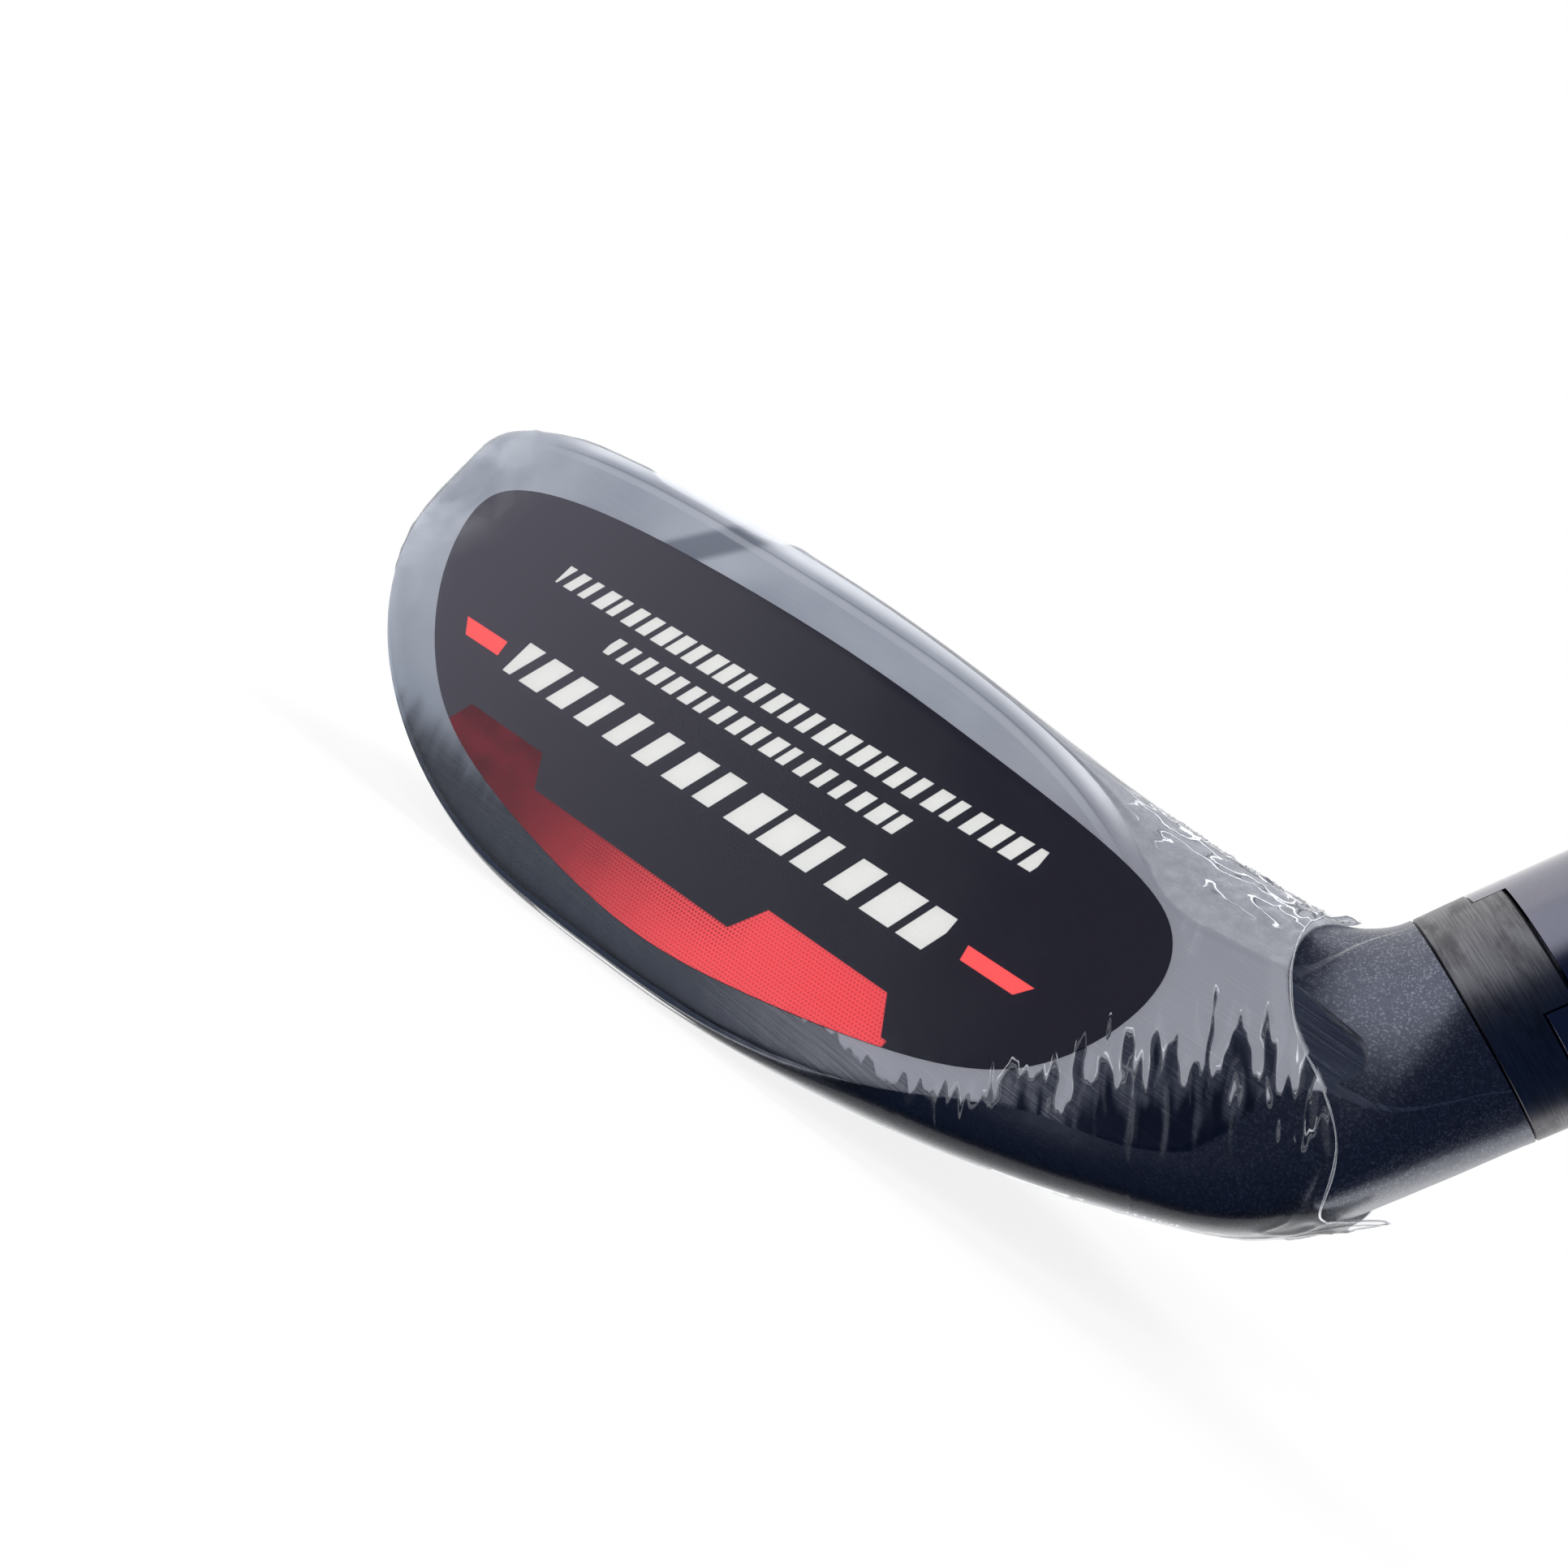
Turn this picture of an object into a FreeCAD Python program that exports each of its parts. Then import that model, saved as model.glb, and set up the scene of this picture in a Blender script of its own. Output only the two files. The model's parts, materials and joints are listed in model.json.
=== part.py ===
import FreeCAD, Part
import math
import os
import Sketcher

from FreeCAD import Placement, Rotation, Vector

# A hybrid golf club with an adjustable hosel, standing at address.
# The sole rests on the ground at the origin, the face looks along -Y, the toe is at -X
# and the shaft leans towards +X. Lengths are millimetres and angles are degrees.

doc = FreeCAD.newDocument("hybrid_club")
sheet = doc.addObject("Spreadsheet::Sheet", "sizes")

SIZES = {
    "lie_angle": 58.0,            # shaft axis above the ground
    "loft_angle": 20.0,           # face plane back from the vertical
    "face_progression": 15.4,     # leading edge line ahead of the shaft axis
    "shaft_ground_x": 33.0,       # where the shaft axis meets the ground
    "toe_x": -46.6,               # outermost point of the toe
    "toe_height": 28.5,
    "toe_depth_y": 2.0,           # the crown's ridge and the sole's keel line lie in this plane
    "crown_height": 35.3,
    "crown_peak_x": -19.0,
    "back_y": 42.5,               # rearmost point of the skirt
    "back_peak_x": -2.0,
    "skirt_height": 11.5,
    "sole_radius": 104.0,         # rocker of the sole towards the heel
    "sole_flat_toe": -6.5,
    "sole_flat_heel": 3.0,
    "sole_relief": 0.12,          # how far the sole's form dips under its flat
    "nose_bulge": 4.5,            # form ahead of the face plane, milled away
    "crown_wall": 2.0,
    "sole_wall": 1.8,
    "skirt_wall": 1.6,
    "face_thickness": 2.2,
    "cup_depth": 7.0,             # how far the face cup wraps back
    "cup_heel_gap": 11.0,         # cup's heel end from the shaft axis
    "crown_plate_thickness": 1.0,
    "crown_bond_thickness": 0.2,
    "crown_ledge_width": 4.0,
    "crown_front_y": 6.5,
    "crown_margin": 6.0,          # metal left round the plate at the back
    "crown_toe_margin": 7.5,
    "crown_heel_margin": 9.5,
    "crown_corner": 5.0,
    "crown_block_low": 19.0,      # the plate's outline is cut down to this height
    "hosel_diameter": 15.5,
    "hosel_bore": 12.0,
    "hosel_top": 33.8,            # along the shaft axis from the ground
    "neck_radius": 5.5,           # concave corner between crown and hosel
    "hosel_core_diameter": 14.6,  # the tube inside the head that carries the sleeve
    "seat_top": 21.8,             # floor that the screw pulls against
    "seat_thickness": 1.8,
    "screw_port_diameter": 9.6,
    "washer_thickness": 0.8,
    "screw_diameter": 5.0,
    "screw_head_diameter": 8.4,
    "screw_head_height": 3.7,
    "screw_length": 8.2,          # shank beyond the head
    "screw_socket": 4.0,
    "socket_depth": 2.4,
    "clip_gap": 0.3,              # from the loose screw's head to the clip that keeps it in
    "clip_thickness": 0.7,
    "clip_width": 0.75,
    "clip_bite": 0.35,            # depth of the clip's groove in the port's wall
    "clip_opening": 70.0,
    "running_clearance": 0.05,
    "ring_height": 3.6,
    "tooth_height": 2.1,
    "tooth_count": 2,
    "tooth_angle": 69.0,
    "tooth_turn": -110.8,         # middle of the first tooth, round the shaft axis
    "seam_gap": 0.12,
    "edge_break": 0.2,            # chamfer where the ring meets its neighbours
    "key_count": 4,
    "key_depth": 2.0,
    "key_angle": 34.0,
    "key_thickness": 0.85,
    "key_clearance": 0.1,
    "sleeve_floor_gap": 0.2,
    "insert_diameter": 7.2,
    "insert_length": 5.8,
    "pocket_floor": 0.6,          # web between the screw's insert and the shaft's pocket
    "collar_top": 50.0,
    "collar_top_diameter": 15.1,
    "ferrule_length": 24.0,
    "ferrule_shoulder": 6.0,
    "ferrule_tip_diameter": 10.9,
    "shaft_tip_diameter": 9.4,
    "shaft_tip_wall": 1.9,
    "shaft_tip_parallel": 110.0,
    "shaft_butt_diameter": 15.2,
    "shaft_butt_wall": 0.95,
    "bond_gap": 0.05,
    "plug_length": 9.0,
    "club_length": 1010.0,        # ground to grip cap along the shaft axis
    "grip_length": 267.0,
    "grip_mouth_diameter": 19.2,
    "grip_mouth_length": 3.0,
    "grip_middle_diameter": 22.6,
    "grip_middle_length": 150.0,
    "grip_butt_diameter": 26.8,
    "grip_tape_thickness": 0.25,
    "cap_thickness": 4.0,
    "cap_bead_height": 5.0,
    "cap_edge": 1.4,
    "vent_diameter": 3.2,
    "band_length": 46.0,
    "band_gap": 38.0,             # bare shaft between the band and the grip
    "band_thickness": 0.15,
    "weight_x": -4.0,
    "weight_y": 26.0,
    "weight_tilt": 9.4,           # the sole rises this much where the weight is screwed in
    "weight_recess": 0.3,
    "weight_thread_diameter": 11.0,
    "weight_head_diameter": 14.0,
    "weight_head_height": 3.0,
    "weight_length": 8.0,
    "weight_socket": 5.0,
    "weight_socket_depth": 3.4,
    "weight_boss_diameter": 18.0,
    "weight_boss_height": 10.0,
    "inner_weight_length": 44.0,
    "inner_weight_width": 11.0,
    "inner_weight_height": 6.0,   # its top above the ground
    "inner_weight_toe_x": -26.0,
    "inner_weight_front_y": -5.5,
    "sticker_thickness": 0.1,
    "sticker_heel_x": 34.6,
    "sticker_toe_x": -38.9,
    "sticker_low": 3.6,           # up the face from the ground line
    "sticker_high": 31.8,
    "film_thickness": 0.12,
    "film_gap": 0.05,
    "film_end": 27.5,             # along the shaft axis
    "film_port_margin": 0.6,
    "milled_corner_x": 48.4,
    "milled_corner_up": 25.0,
    "milled_slope": -0.216,
    "milled_corner_radius": 1.6,
}

for row, (alias, value) in enumerate(SIZES.items(), start=1):
    sheet.set(f"A{row}", alias)
    sheet.set(f"B{row}", str(value))
    sheet.setAlias(f"B{row}", alias)
doc.recompute()


def size(alias):
    return float(sheet.get(alias))


# ---------------------------------------------------------------- frames and helpers

LIE = math.radians(size("lie_angle"))
LOFT = math.radians(size("loft_angle"))
AXIS = Vector(math.cos(LIE), 0, math.sin(LIE))
ACROSS = Vector(-math.sin(LIE), 0, math.cos(LIE))
GROUND_POINT = Vector(size("shaft_ground_x"), 0, 0)
UP_FACE = Vector(0, math.sin(LOFT), math.cos(LOFT))
FACE_OUT = Vector(0, -math.cos(LOFT), math.sin(LOFT))
FACE_FOOT = Vector(0, -size("face_progression"), 0)
ALONG_SHAFT = Placement(GROUND_POINT, Rotation(Vector(0, 1, 0), 90 - size("lie_angle")))
BIG = 400.0
SPARE = 10.0              # how far a cutting tool runs past what it cuts
nodes = []


def on_axis(distance):
    return GROUND_POINT + AXIS * distance


def face_y(height):
    """Where the face plane is at a height above the ground."""
    return -size("face_progression") + height * math.tan(LOFT)


def between(low, high, share):
    return low + (high - low) * share


def ease(share):
    """Goes from 0 to 1 with no corner at either end."""
    share = min(max(share, 0.0), 1.0)
    return share * share * (3 - 2 * share)


def arch(share, power):
    """Height of a superellipse quarter, 1 at share 0 and 0 at share 1."""
    share = min(max(share, 0.0), 1.0)
    return (1 - share ** power) ** (1 / power)


def curve_through(points):
    curve = Part.BSplineCurve()
    curve.interpolate(points)
    return curve


class Measure:
    """A length worked out from the sheet, held as its number and as the sheet's expression."""

    def __init__(self, value, text):
        self.value = value
        self.text = text

    def __add__(self, other):
        other = measure(other)
        return Measure(self.value + other.value, f"({self.text} + {other.text})")

    def __sub__(self, other):
        other = measure(other)
        return Measure(self.value - other.value, f"({self.text} - {other.text})")

    def __mul__(self, other):
        other = measure(other)
        return Measure(self.value * other.value, f"({self.text} * {other.text})")

    def __truediv__(self, other):
        other = measure(other)
        return Measure(self.value / other.value, f"({self.text} / {other.text})")


def measure(amount):
    """A number, or the name of a size, as a Measure."""
    if isinstance(amount, Measure):
        return amount
    if isinstance(amount, str):
        return Measure(size(amount), f"sizes.{amount}")
    return Measure(float(amount), f"{float(amount):.6f}")


def half(alias):
    return measure(alias) / 2


# ---------------------------------------------------------------- the head's form

NECK_CENTRE = on_axis(size("hosel_top")) + ACROSS * (size("hosel_diameter") / 2 + size("neck_radius"))
TOE_CORNER = 12.0         # length of the toe's rounded stretch seen from the front
TOE_POWER = 2.1
TOE_SOLE_POWER = 1.8
BACK_POWER = 2.05
FACE_POWER = 5.0          # front of a section: nearly square
CROWN_POWER = 1.8
KEEL_POWER = 2.4
DENSE = 48                # steps used to walk a quadrant
CROWN_OUTLINE_POWER = 2.4
CROWN_STEPS = 16
SEAT_CLEARANCE = 0.25     # round the screw's shank
QUADRANTS = ((10, 0), (12, 1), (12, 2), (9, 3))
HEAD_STATIONS = (0.04, 0.35, 1.1, 2.4, 4.4, 7.2, 11.0, 16.0, 24.0, 34.0, 46.0, 58.0, 68.0, 76.0, 81.5)
NECK_STEPS = 6
HEEL_REACH = 46.0         # the skirt's heel-side length from its rearmost point
HEEL_CORNER = 20.0        # how sharply the sole's line turns into the hosel's

crown_line = curve_through([
    Vector(size("toe_x"), 0, size("crown_height") - 1.9),
    Vector(size("crown_peak_x"), 0, size("crown_height")),
    Vector(5, 0, size("crown_height") - 1.5),
    Vector(21, 0, size("crown_height") - 3.7),
    Vector(NECK_CENTRE.x, 0, NECK_CENTRE.z - size("neck_radius")),
])


def crown_at(x):
    """Height of the crown's ridge, without the toe's rounding."""
    low = crown_line.FirstParameter
    high = crown_line.LastParameter
    for _ in range(40):
        middle = (low + high) / 2
        if crown_line.value(middle).x < x:
            low = middle
        else:
            high = middle
    return crown_line.value(low).z


class Grow:
    """How far a form stands outside the head's own surface, by direction."""

    def __init__(self, top=0.0, sole=0.0, back=0.0, front=0.0, toe=0.0):
        self.top = top
        self.sole = sole
        self.back = back
        self.front = front
        self.toe = toe


def sole_at(x, toe):
    flat_toe = size("sole_flat_toe")
    flat_heel = size("sole_flat_heel")
    if x < flat_toe:
        return size("toe_height") * (1 - arch((flat_toe - x) / (flat_toe - toe), TOE_SOLE_POWER))
    if x > flat_heel:
        return (x - flat_heel) ** 2 / (2 * size("sole_radius"))
    return 0.0


def back_at(x, toe):
    peak = size("back_peak_x")
    if x < peak:
        share = arch((peak - x) / (peak - toe), BACK_POWER)
    else:
        share = arch((x - peak) / HEEL_REACH, BACK_POWER)
    keel = size("toe_depth_y")
    return keel + (size("back_y") - keel) * share


def skirt_at(x, toe):
    peak = size("back_peak_x")
    rise = size("toe_height") - size("skirt_height")
    if x < peak:
        return size("skirt_height") + rise * ((peak - x) / (peak - toe)) ** 3
    return size("skirt_height") + 5.5 * ((x - peak) / (NECK_CENTRE.x - peak)) ** 2


def bulge_at(x):
    return between(size("nose_bulge"), 0.15, ease((x - 5) / 28))


def closed_section(place, low, high, middle, front, back, keel, powers):
    """A closed loop of points: keel, nose, crown, back. place(height, y) makes a point."""
    loop = []
    for count, quadrant in QUADRANTS:
        goes_out = quadrant in (0, 2)          # away from the keel plane
        edge = low if quadrant in (0, 3) else high
        walk = []
        for step in range(DENSE + 1):
            angle = math.pi / 2 * step / DENSE
            rising = math.sin(angle) ** (2 / powers[quadrant])
            falling = max(math.cos(angle), 0.0) ** (2 / powers[quadrant])
            reach = rising if goes_out else falling
            lift = falling if goes_out else rising
            height = middle + (edge - middle) * lift
            side = front(height) if quadrant in (0, 1) else back
            walk.append(place(height, keel + (side - keel) * reach))
        loop += even_points(walk, count)
    return loop


def even_points(walk, count):
    """count points spaced evenly along a walk, with its start and without its end."""
    lengths = [0.0]
    for a, b in zip(walk, walk[1:]):
        lengths.append(lengths[-1] + (b - a).Length)
    picked = []
    index = 0
    for k in range(count):
        goal = lengths[-1] * k / count
        while lengths[index + 1] < goal:
            index += 1
        span = lengths[index + 1] - lengths[index]
        share = (goal - lengths[index]) / span if span > 0 else 0.0
        picked.append(walk[index] + (walk[index + 1] - walk[index]) * share)
    return picked


def closed_wire(points):
    curve = Part.BSplineCurve()
    steps = [k / len(points) for k in range(len(points) + 1)]
    curve.interpolate(Points=points, PeriodicFlag=True, Parameters=steps)
    return Part.Wire([curve.toShape()])


def head_section(x, grow):
    toe = size("toe_x") - grow.toe
    keel = size("toe_depth_y")
    toe_height = size("toe_height")
    corner = arch(1 - (x - toe) / TOE_CORNER, TOE_POWER)
    high = toe_height + (crown_at(x) + grow.top - toe_height) * corner
    low = sole_at(x, toe) - (size("sole_relief") + grow.sole) * corner
    back = back_at(x, toe) + grow.back * corner
    bulge = bulge_at(x) + grow.front

    def front(height):
        return keel + (face_y(height) - bulge - keel) * corner

    def place(height, y):
        return Vector(x, y, height)

    powers = (FACE_POWER, FACE_POWER, CROWN_POWER, KEEL_POWER)
    return closed_section(place, low, high, skirt_at(x, toe), front, back, keel, powers)


def sole_reach(direction):
    """Distance from the neck's centre to the sole's line, along a direction."""
    toe = size("toe_x")
    reach = NECK_CENTRE.z
    for _ in range(30):
        point = NECK_CENTRE + direction * reach
        reach += (point.z - sole_at(point.x, toe)) * 0.7
    return reach


def neck_section(turn, grow):
    """turn goes from 0, where the neck leaves the head, to the lie angle, square to the shaft."""
    direction = Vector(math.sin(turn), 0, -math.cos(turn))
    tilt = LIE - turn
    share = ease(turn / LIE)
    radius = size("hosel_diameter") / 2
    inner = size("neck_radius")
    hosel_far = (inner + 2 * radius) / math.cos(tilt)
    far = (hosel_far ** -HEEL_CORNER + sole_reach(direction) ** -HEEL_CORNER) ** (-1 / HEEL_CORNER)
    skirt = NECK_CENTRE.z - skirt_at(NECK_CENTRE.x, size("toe_x"))
    middle = between(skirt, (inner + radius) / math.cos(tilt), share)
    keel = between(size("toe_depth_y"), 0.0, share)
    back_share = ease(turn / LIE * 1.4)
    back = between(back_at(NECK_CENTRE.x, size("toe_x")), radius, back_share) + grow.back
    bulge = bulge_at(NECK_CENTRE.x)

    def front(distance):
        height = NECK_CENTRE.z + direction.z * distance
        return between(face_y(height) - bulge, -radius, share) - grow.front

    def place(distance, y):
        point = NECK_CENTRE + direction * distance
        return Vector(point.x, y, point.z)

    powers = (
        between(FACE_POWER, 2.0, share),
        between(FACE_POWER, 2.0, share),
        between(CROWN_POWER, 2.0, share),
        between(KEEL_POWER, 2.0, share),
    )
    return closed_section(place, far + grow.sole, inner - grow.top, middle, front, back, keel, powers)


def head_form(grow, with_neck=True):
    """The head as one smooth solid, with the nose still ahead of the face plane."""
    toe = size("toe_x") - grow.toe
    stretch = (NECK_CENTRE.x - toe) / (HEAD_STATIONS[-1] + 4.1)
    wires = []
    for step in HEAD_STATIONS:
        wires.append(closed_wire(head_section(toe + step * stretch, grow)))
    if with_neck:
        for k in range(NECK_STEPS + 1):
            wires.append(closed_wire(neck_section(LIE * k / NECK_STEPS, grow)))
    return Part.makeLoft(wires, True, False)


# ---------------------------------------------------------------- tools for cutting

def aligned_box(origin, out, across, low, high):
    """A box in the frame (across, out x across, out), from its low to its high corner."""
    side = out.cross(across)
    frame = Rotation(across, side, out, "ZXY")
    box = Part.makeBox(high.x - low.x, high.y - low.y, high.z - low.z, low)
    box.Placement = Placement(origin, frame).multiply(box.Placement)
    return box


def beyond(origin, out, across):
    """All space on the outer side of a plane."""
    return aligned_box(origin, out, across, Vector(-BIG, -BIG, 0), Vector(BIG, BIG, BIG))


def ahead_of_face(offset):
    return beyond(FACE_FOOT + FACE_OUT * offset, FACE_OUT, Vector(1, 0, 0))


def face_point(x, up):
    return FACE_FOOT + Vector(x, 0, 0) + UP_FACE * up


def milled_space(offset=0.0, skin=0.0):
    """What the mill takes off the nose: it stops at a rounded corner on the hosel."""
    corner_x = size("milled_corner_x") - skin
    corner_up = size("milled_corner_up") - skin
    radius = size("milled_corner_radius")
    run = 15.0
    points = [
        face_point(-BIG, -BIG),
        face_point(-BIG, BIG),
        face_point(corner_x - run, BIG),
        face_point(corner_x - run, corner_up - size("milled_slope") * run),
        face_point(corner_x, corner_up),
        face_point(corner_x - run / 2, corner_up - run),
        face_point(corner_x - run, -BIG),
    ]
    block = Part.Face(Part.makePolygon(points + points[:1])).extrude(FACE_OUT * BIG)
    probe = Part.Vertex(face_point(corner_x, corner_up) + FACE_OUT * radius)
    rounded = [edge for edge in block.Edges if edge.distToShape(probe)[0] < 1e-6]
    block = block.makeFillet(radius, rounded)
    block.translate(FACE_OUT * offset)
    return block


def rod(radius, start, end, origin=GROUND_POINT, along=AXIS):
    """A cylinder between two distances along a line."""
    return Part.makeCylinder(radius, end - start, origin + along * start, along)


def feature(name, shape):
    """Keeps a shape as one piece of the club."""
    item = doc.addObject("Part::Feature", name)
    item.Shape = shape.Solids[0] if len(shape.Solids) == 1 else shape
    item.Placement = Placement()
    item.Label = name
    nodes.append(item)
    return item


# ---------------------------------------------------------------- stations along the shaft axis

SEAT_BOTTOM = size("seat_top") - size("seat_thickness")
SCREW_BOTTOM = SEAT_BOTTOM - size("washer_thickness") - size("screw_head_height")
CLIP_TOP = SCREW_BOTTOM - size("clip_gap")
CLIP_BOTTOM = CLIP_TOP - size("clip_thickness")
BORE_RADIUS = size("hosel_bore") / 2
PORT_RADIUS = size("screw_port_diameter") / 2
KEYWAY_RADIUS = BORE_RADIUS + size("key_thickness") + size("key_clearance")
KEYWAY_ANGLE = size("key_angle") + 2 * math.degrees(size("key_clearance") / BORE_RADIUS)
RING_TURN = size("tooth_turn") + 180 / size("tooth_count")     # middle of a gap between two teeth
KEY_TURN = RING_TURN + 180 / size("key_count")                 # middle of the first key

# ---------------------------------------------------------------- the head's shell

above_hosel = beyond(on_axis(size("hosel_top")), AXIS, Vector(0, 1, 0))
ground = Part.makeBox(2 * BIG, 2 * BIG, BIG, Vector(-BIG, -BIG, -BIG))
outside = head_form(Grow()).cut([milled_space(), above_hosel, ground])

weight_tilt = math.radians(size("weight_tilt"))
WEIGHT_OUT = Vector(0, math.sin(weight_tilt), -math.cos(weight_tilt))
skirt_here = skirt_at(size("weight_x"), size("toe_x"))
back_here = back_at(size("weight_x"), size("toe_x"))
weight_share = (size("weight_y") - size("toe_depth_y")) / (back_here - size("toe_depth_y"))
sole_here = sole_at(size("weight_x"), size("toe_x"))
WEIGHT_FOOT = Vector(
    size("weight_x"),
    size("weight_y"),
    skirt_here - (skirt_here - sole_here) * arch(weight_share, KEEL_POWER),
)

inner_walls = Grow(-size("crown_wall"), -size("sole_wall"), -size("skirt_wall"), 0.0, -size("skirt_wall"))
cavity = head_form(inner_walls, with_neck=False).cut([
    ahead_of_face(-size("face_thickness")),
    rod(size("hosel_core_diameter") / 2, 0, size("seat_top")),
    rod(size("weight_boss_diameter") / 2, -size("weight_boss_height"), SPARE, WEIGHT_FOOT, WEIGHT_OUT),
])
shell = outside.cut(cavity)

# ---------------------------------------------------------------- face cup

cup_space = ahead_of_face(-size("cup_depth")).common(
    beyond(GROUND_POINT + ACROSS * size("cup_heel_gap"), ACROSS, Vector(0, 1, 0))
)
feature("face_cup", shell.common(cup_space))

# ---------------------------------------------------------------- crown plate and its bond


def crown_prism(inset=0.0):
    """An upright block with the crown plate's outline, drawn in by a margin."""
    toe_x = size("toe_x") + size("crown_toe_margin") + inset
    heel_x = NECK_CENTRE.x - size("crown_heel_margin") - inset
    front_y = size("crown_front_y") + inset
    peak_x = size("back_peak_x")
    depth = size("back_y") - size("crown_margin") - inset - front_y
    base = size("crown_block_low")
    height = size("crown_height") + SPARE - base
    arc = []
    for step in range(CROWN_STEPS + 1):
        angle = math.pi * step / CROWN_STEPS
        reach = peak_x - toe_x if angle < math.pi / 2 else heel_x - peak_x
        swing = math.copysign(abs(math.cos(angle)) ** (2 / CROWN_OUTLINE_POWER), math.cos(angle))
        rise = max(math.sin(angle), 0.0) ** (2 / CROWN_OUTLINE_POWER)
        arc.append(Vector(peak_x - reach * swing, front_y + depth * rise, base))
    back_edge = curve_through(arc).toShape()
    front_edge = Part.makeLine(arc[-1], arc[0])
    block = Part.Face(Part.Wire([back_edge, front_edge])).extrude(Vector(0, 0, height))
    corners = []
    for edge in block.Edges:
        ends = [vertex.Point for vertex in edge.Vertexes]
        if abs(ends[0].z - ends[-1].z) > height / 2:
            corners.append(edge)
    return block.makeFillet(size("crown_corner"), corners)


plate_depth = size("crown_plate_thickness")
bond_depth = plate_depth + size("crown_bond_thickness")
under_plate = head_form(Grow(top=-plate_depth), with_neck=False)
under_bond = head_form(Grow(top=-bond_depth), with_neck=False)
plate_prism = crown_prism()
window_prism = crown_prism(size("crown_ledge_width"))
plate_layer = outside.common(plate_prism).cut(under_plate)
bond_layer = under_plate.common(plate_prism).cut([under_bond, window_prism])
feature("crown_plate", plate_layer)
feature("crown_bond", bond_layer)

# ---------------------------------------------------------------- head body

keyways = []
for k in range(int(size("key_count"))):
    turn = KEY_TURN + 360 / size("key_count") * k - KEYWAY_ANGLE / 2
    depth = size("key_depth") + size("key_clearance")
    sector = Part.makeCylinder(KEYWAY_RADIUS, 2 * depth, Vector(), Vector(0, 0, 1), KEYWAY_ANGLE)
    sector.Placement = ALONG_SHAFT.multiply(
        Placement(Vector(0, 0, size("hosel_top") - depth), Rotation(Vector(0, 0, 1), turn))
    )
    keyways.append(sector)

seat_hole_radius = size("screw_diameter") / 2 + SEAT_CLEARANCE
weight_hole_radius = size("weight_thread_diameter") / 2 + size("running_clearance")
weight_counterbore_radius = size("weight_head_diameter") / 2 + size("running_clearance")
weight_counterbore_depth = size("weight_head_height") + size("weight_recess")
head_cuts = keyways + [
    cup_space,
    rod(BORE_RADIUS, size("seat_top"), size("hosel_top") + SPARE),
    rod(seat_hole_radius, 0, size("hosel_top")),
    rod(PORT_RADIUS, -SPARE, SEAT_BOTTOM),
    rod(PORT_RADIUS + size("clip_bite"), CLIP_BOTTOM, CLIP_TOP),
    rod(weight_hole_radius, -SPARE, SPARE, WEIGHT_FOOT, WEIGHT_OUT),
    rod(weight_counterbore_radius, -weight_counterbore_depth, SPARE, WEIGHT_FOOT, WEIGHT_OUT),
    plate_prism.cut(under_bond),
    window_prism,
]
feature("head_body", shell.cut(head_cuts))

# ---------------------------------------------------------------- inner weight

inner_weight = Part.makeBox(
    size("inner_weight_length"),
    size("inner_weight_width"),
    size("inner_weight_height"),
    Vector(size("inner_weight_toe_x"), size("inner_weight_front_y"), 0),
)
feature("inner_weight", inner_weight.common(cavity).cut(cup_space))

# ---------------------------------------------------------------- face sticker and film

STICKER_OUTLINE = (        # shares of its width and height
    (0.012, 0.89), (0.12, 0.975), (0.30, 1.0), (0.52, 0.985), (0.71, 0.935), (0.88, 0.87), (0.974, 0.775),
    (1.0, 0.60), (0.975, 0.375), (0.885, 0.175), (0.69, 0.035), (0.515, 0.0), (0.305, 0.085), (0.16, 0.235),
    (0.055, 0.475), (0.0, 0.72),
)
outline = []
for along_share, up_share in STICKER_OUTLINE:
    outline.append(face_point(
        between(size("sticker_toe_x"), size("sticker_heel_x"), along_share),
        between(size("sticker_low"), size("sticker_high"), up_share),
    ))
sticker = Part.Face(closed_wire(outline)).extrude(FACE_OUT * size("sticker_thickness"))
feature("face_sticker", sticker)


def film_side(gap):
    """The head's outside, grown evenly, as far as one side of the film."""
    grown = head_form(Grow(gap, gap, gap, gap, gap))
    mill = milled_space(size("sticker_thickness") + gap, gap)
    return grown.cut(mill)


film_inside = film_side(size("film_gap"))
film_outside = film_side(size("film_gap") + size("film_thickness"))
film = film_outside.cut([
    film_inside,
    ground,
    beyond(on_axis(size("film_end")), AXIS, Vector(0, 1, 0)),
    rod(PORT_RADIUS + size("film_port_margin"), -SPARE, SEAT_BOTTOM),
])
feature("protective_film", film)

# ---------------------------------------------------------------- turned pieces


def outline_sketch(body, name, corners):
    """A closed outline in the body's XZ plane: (radius, height) corners bound to the sheet."""
    sketch = body.newObject("Sketcher::SketchObject", name)
    plane = [item for item in body.Origin.OriginFeatures if item.Role == "XZ_Plane"][0]
    sketch.AttachmentSupport = (plane, [""])
    sketch.MapMode = "FlatFace"
    corners = [(measure(radius), measure(height)) for radius, height in corners]
    points = [Vector(radius.value, height.value, 0) for radius, height in corners]
    count = len(points)
    for k in range(count):
        sketch.addGeometry(Part.LineSegment(points[k], points[(k + 1) % count]), False)
    for k in range(count):
        sketch.addConstraint(Sketcher.Constraint("Coincident", k, 2, (k + 1) % count, 1))
    for k, (radius, height) in enumerate(corners):
        if radius.value == 0:
            sketch.addConstraint(Sketcher.Constraint("PointOnObject", k, 1, -2))
        else:
            across = sketch.addConstraint(Sketcher.Constraint("DistanceX", k, 1, radius.value))
            sketch.setExpression(f"Constraints[{across}]", radius.text)
        along = sketch.addConstraint(Sketcher.Constraint("DistanceY", k, 1, height.value))
        sketch.setExpression(f"Constraints[{along}]", height.text)
    return sketch


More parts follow.
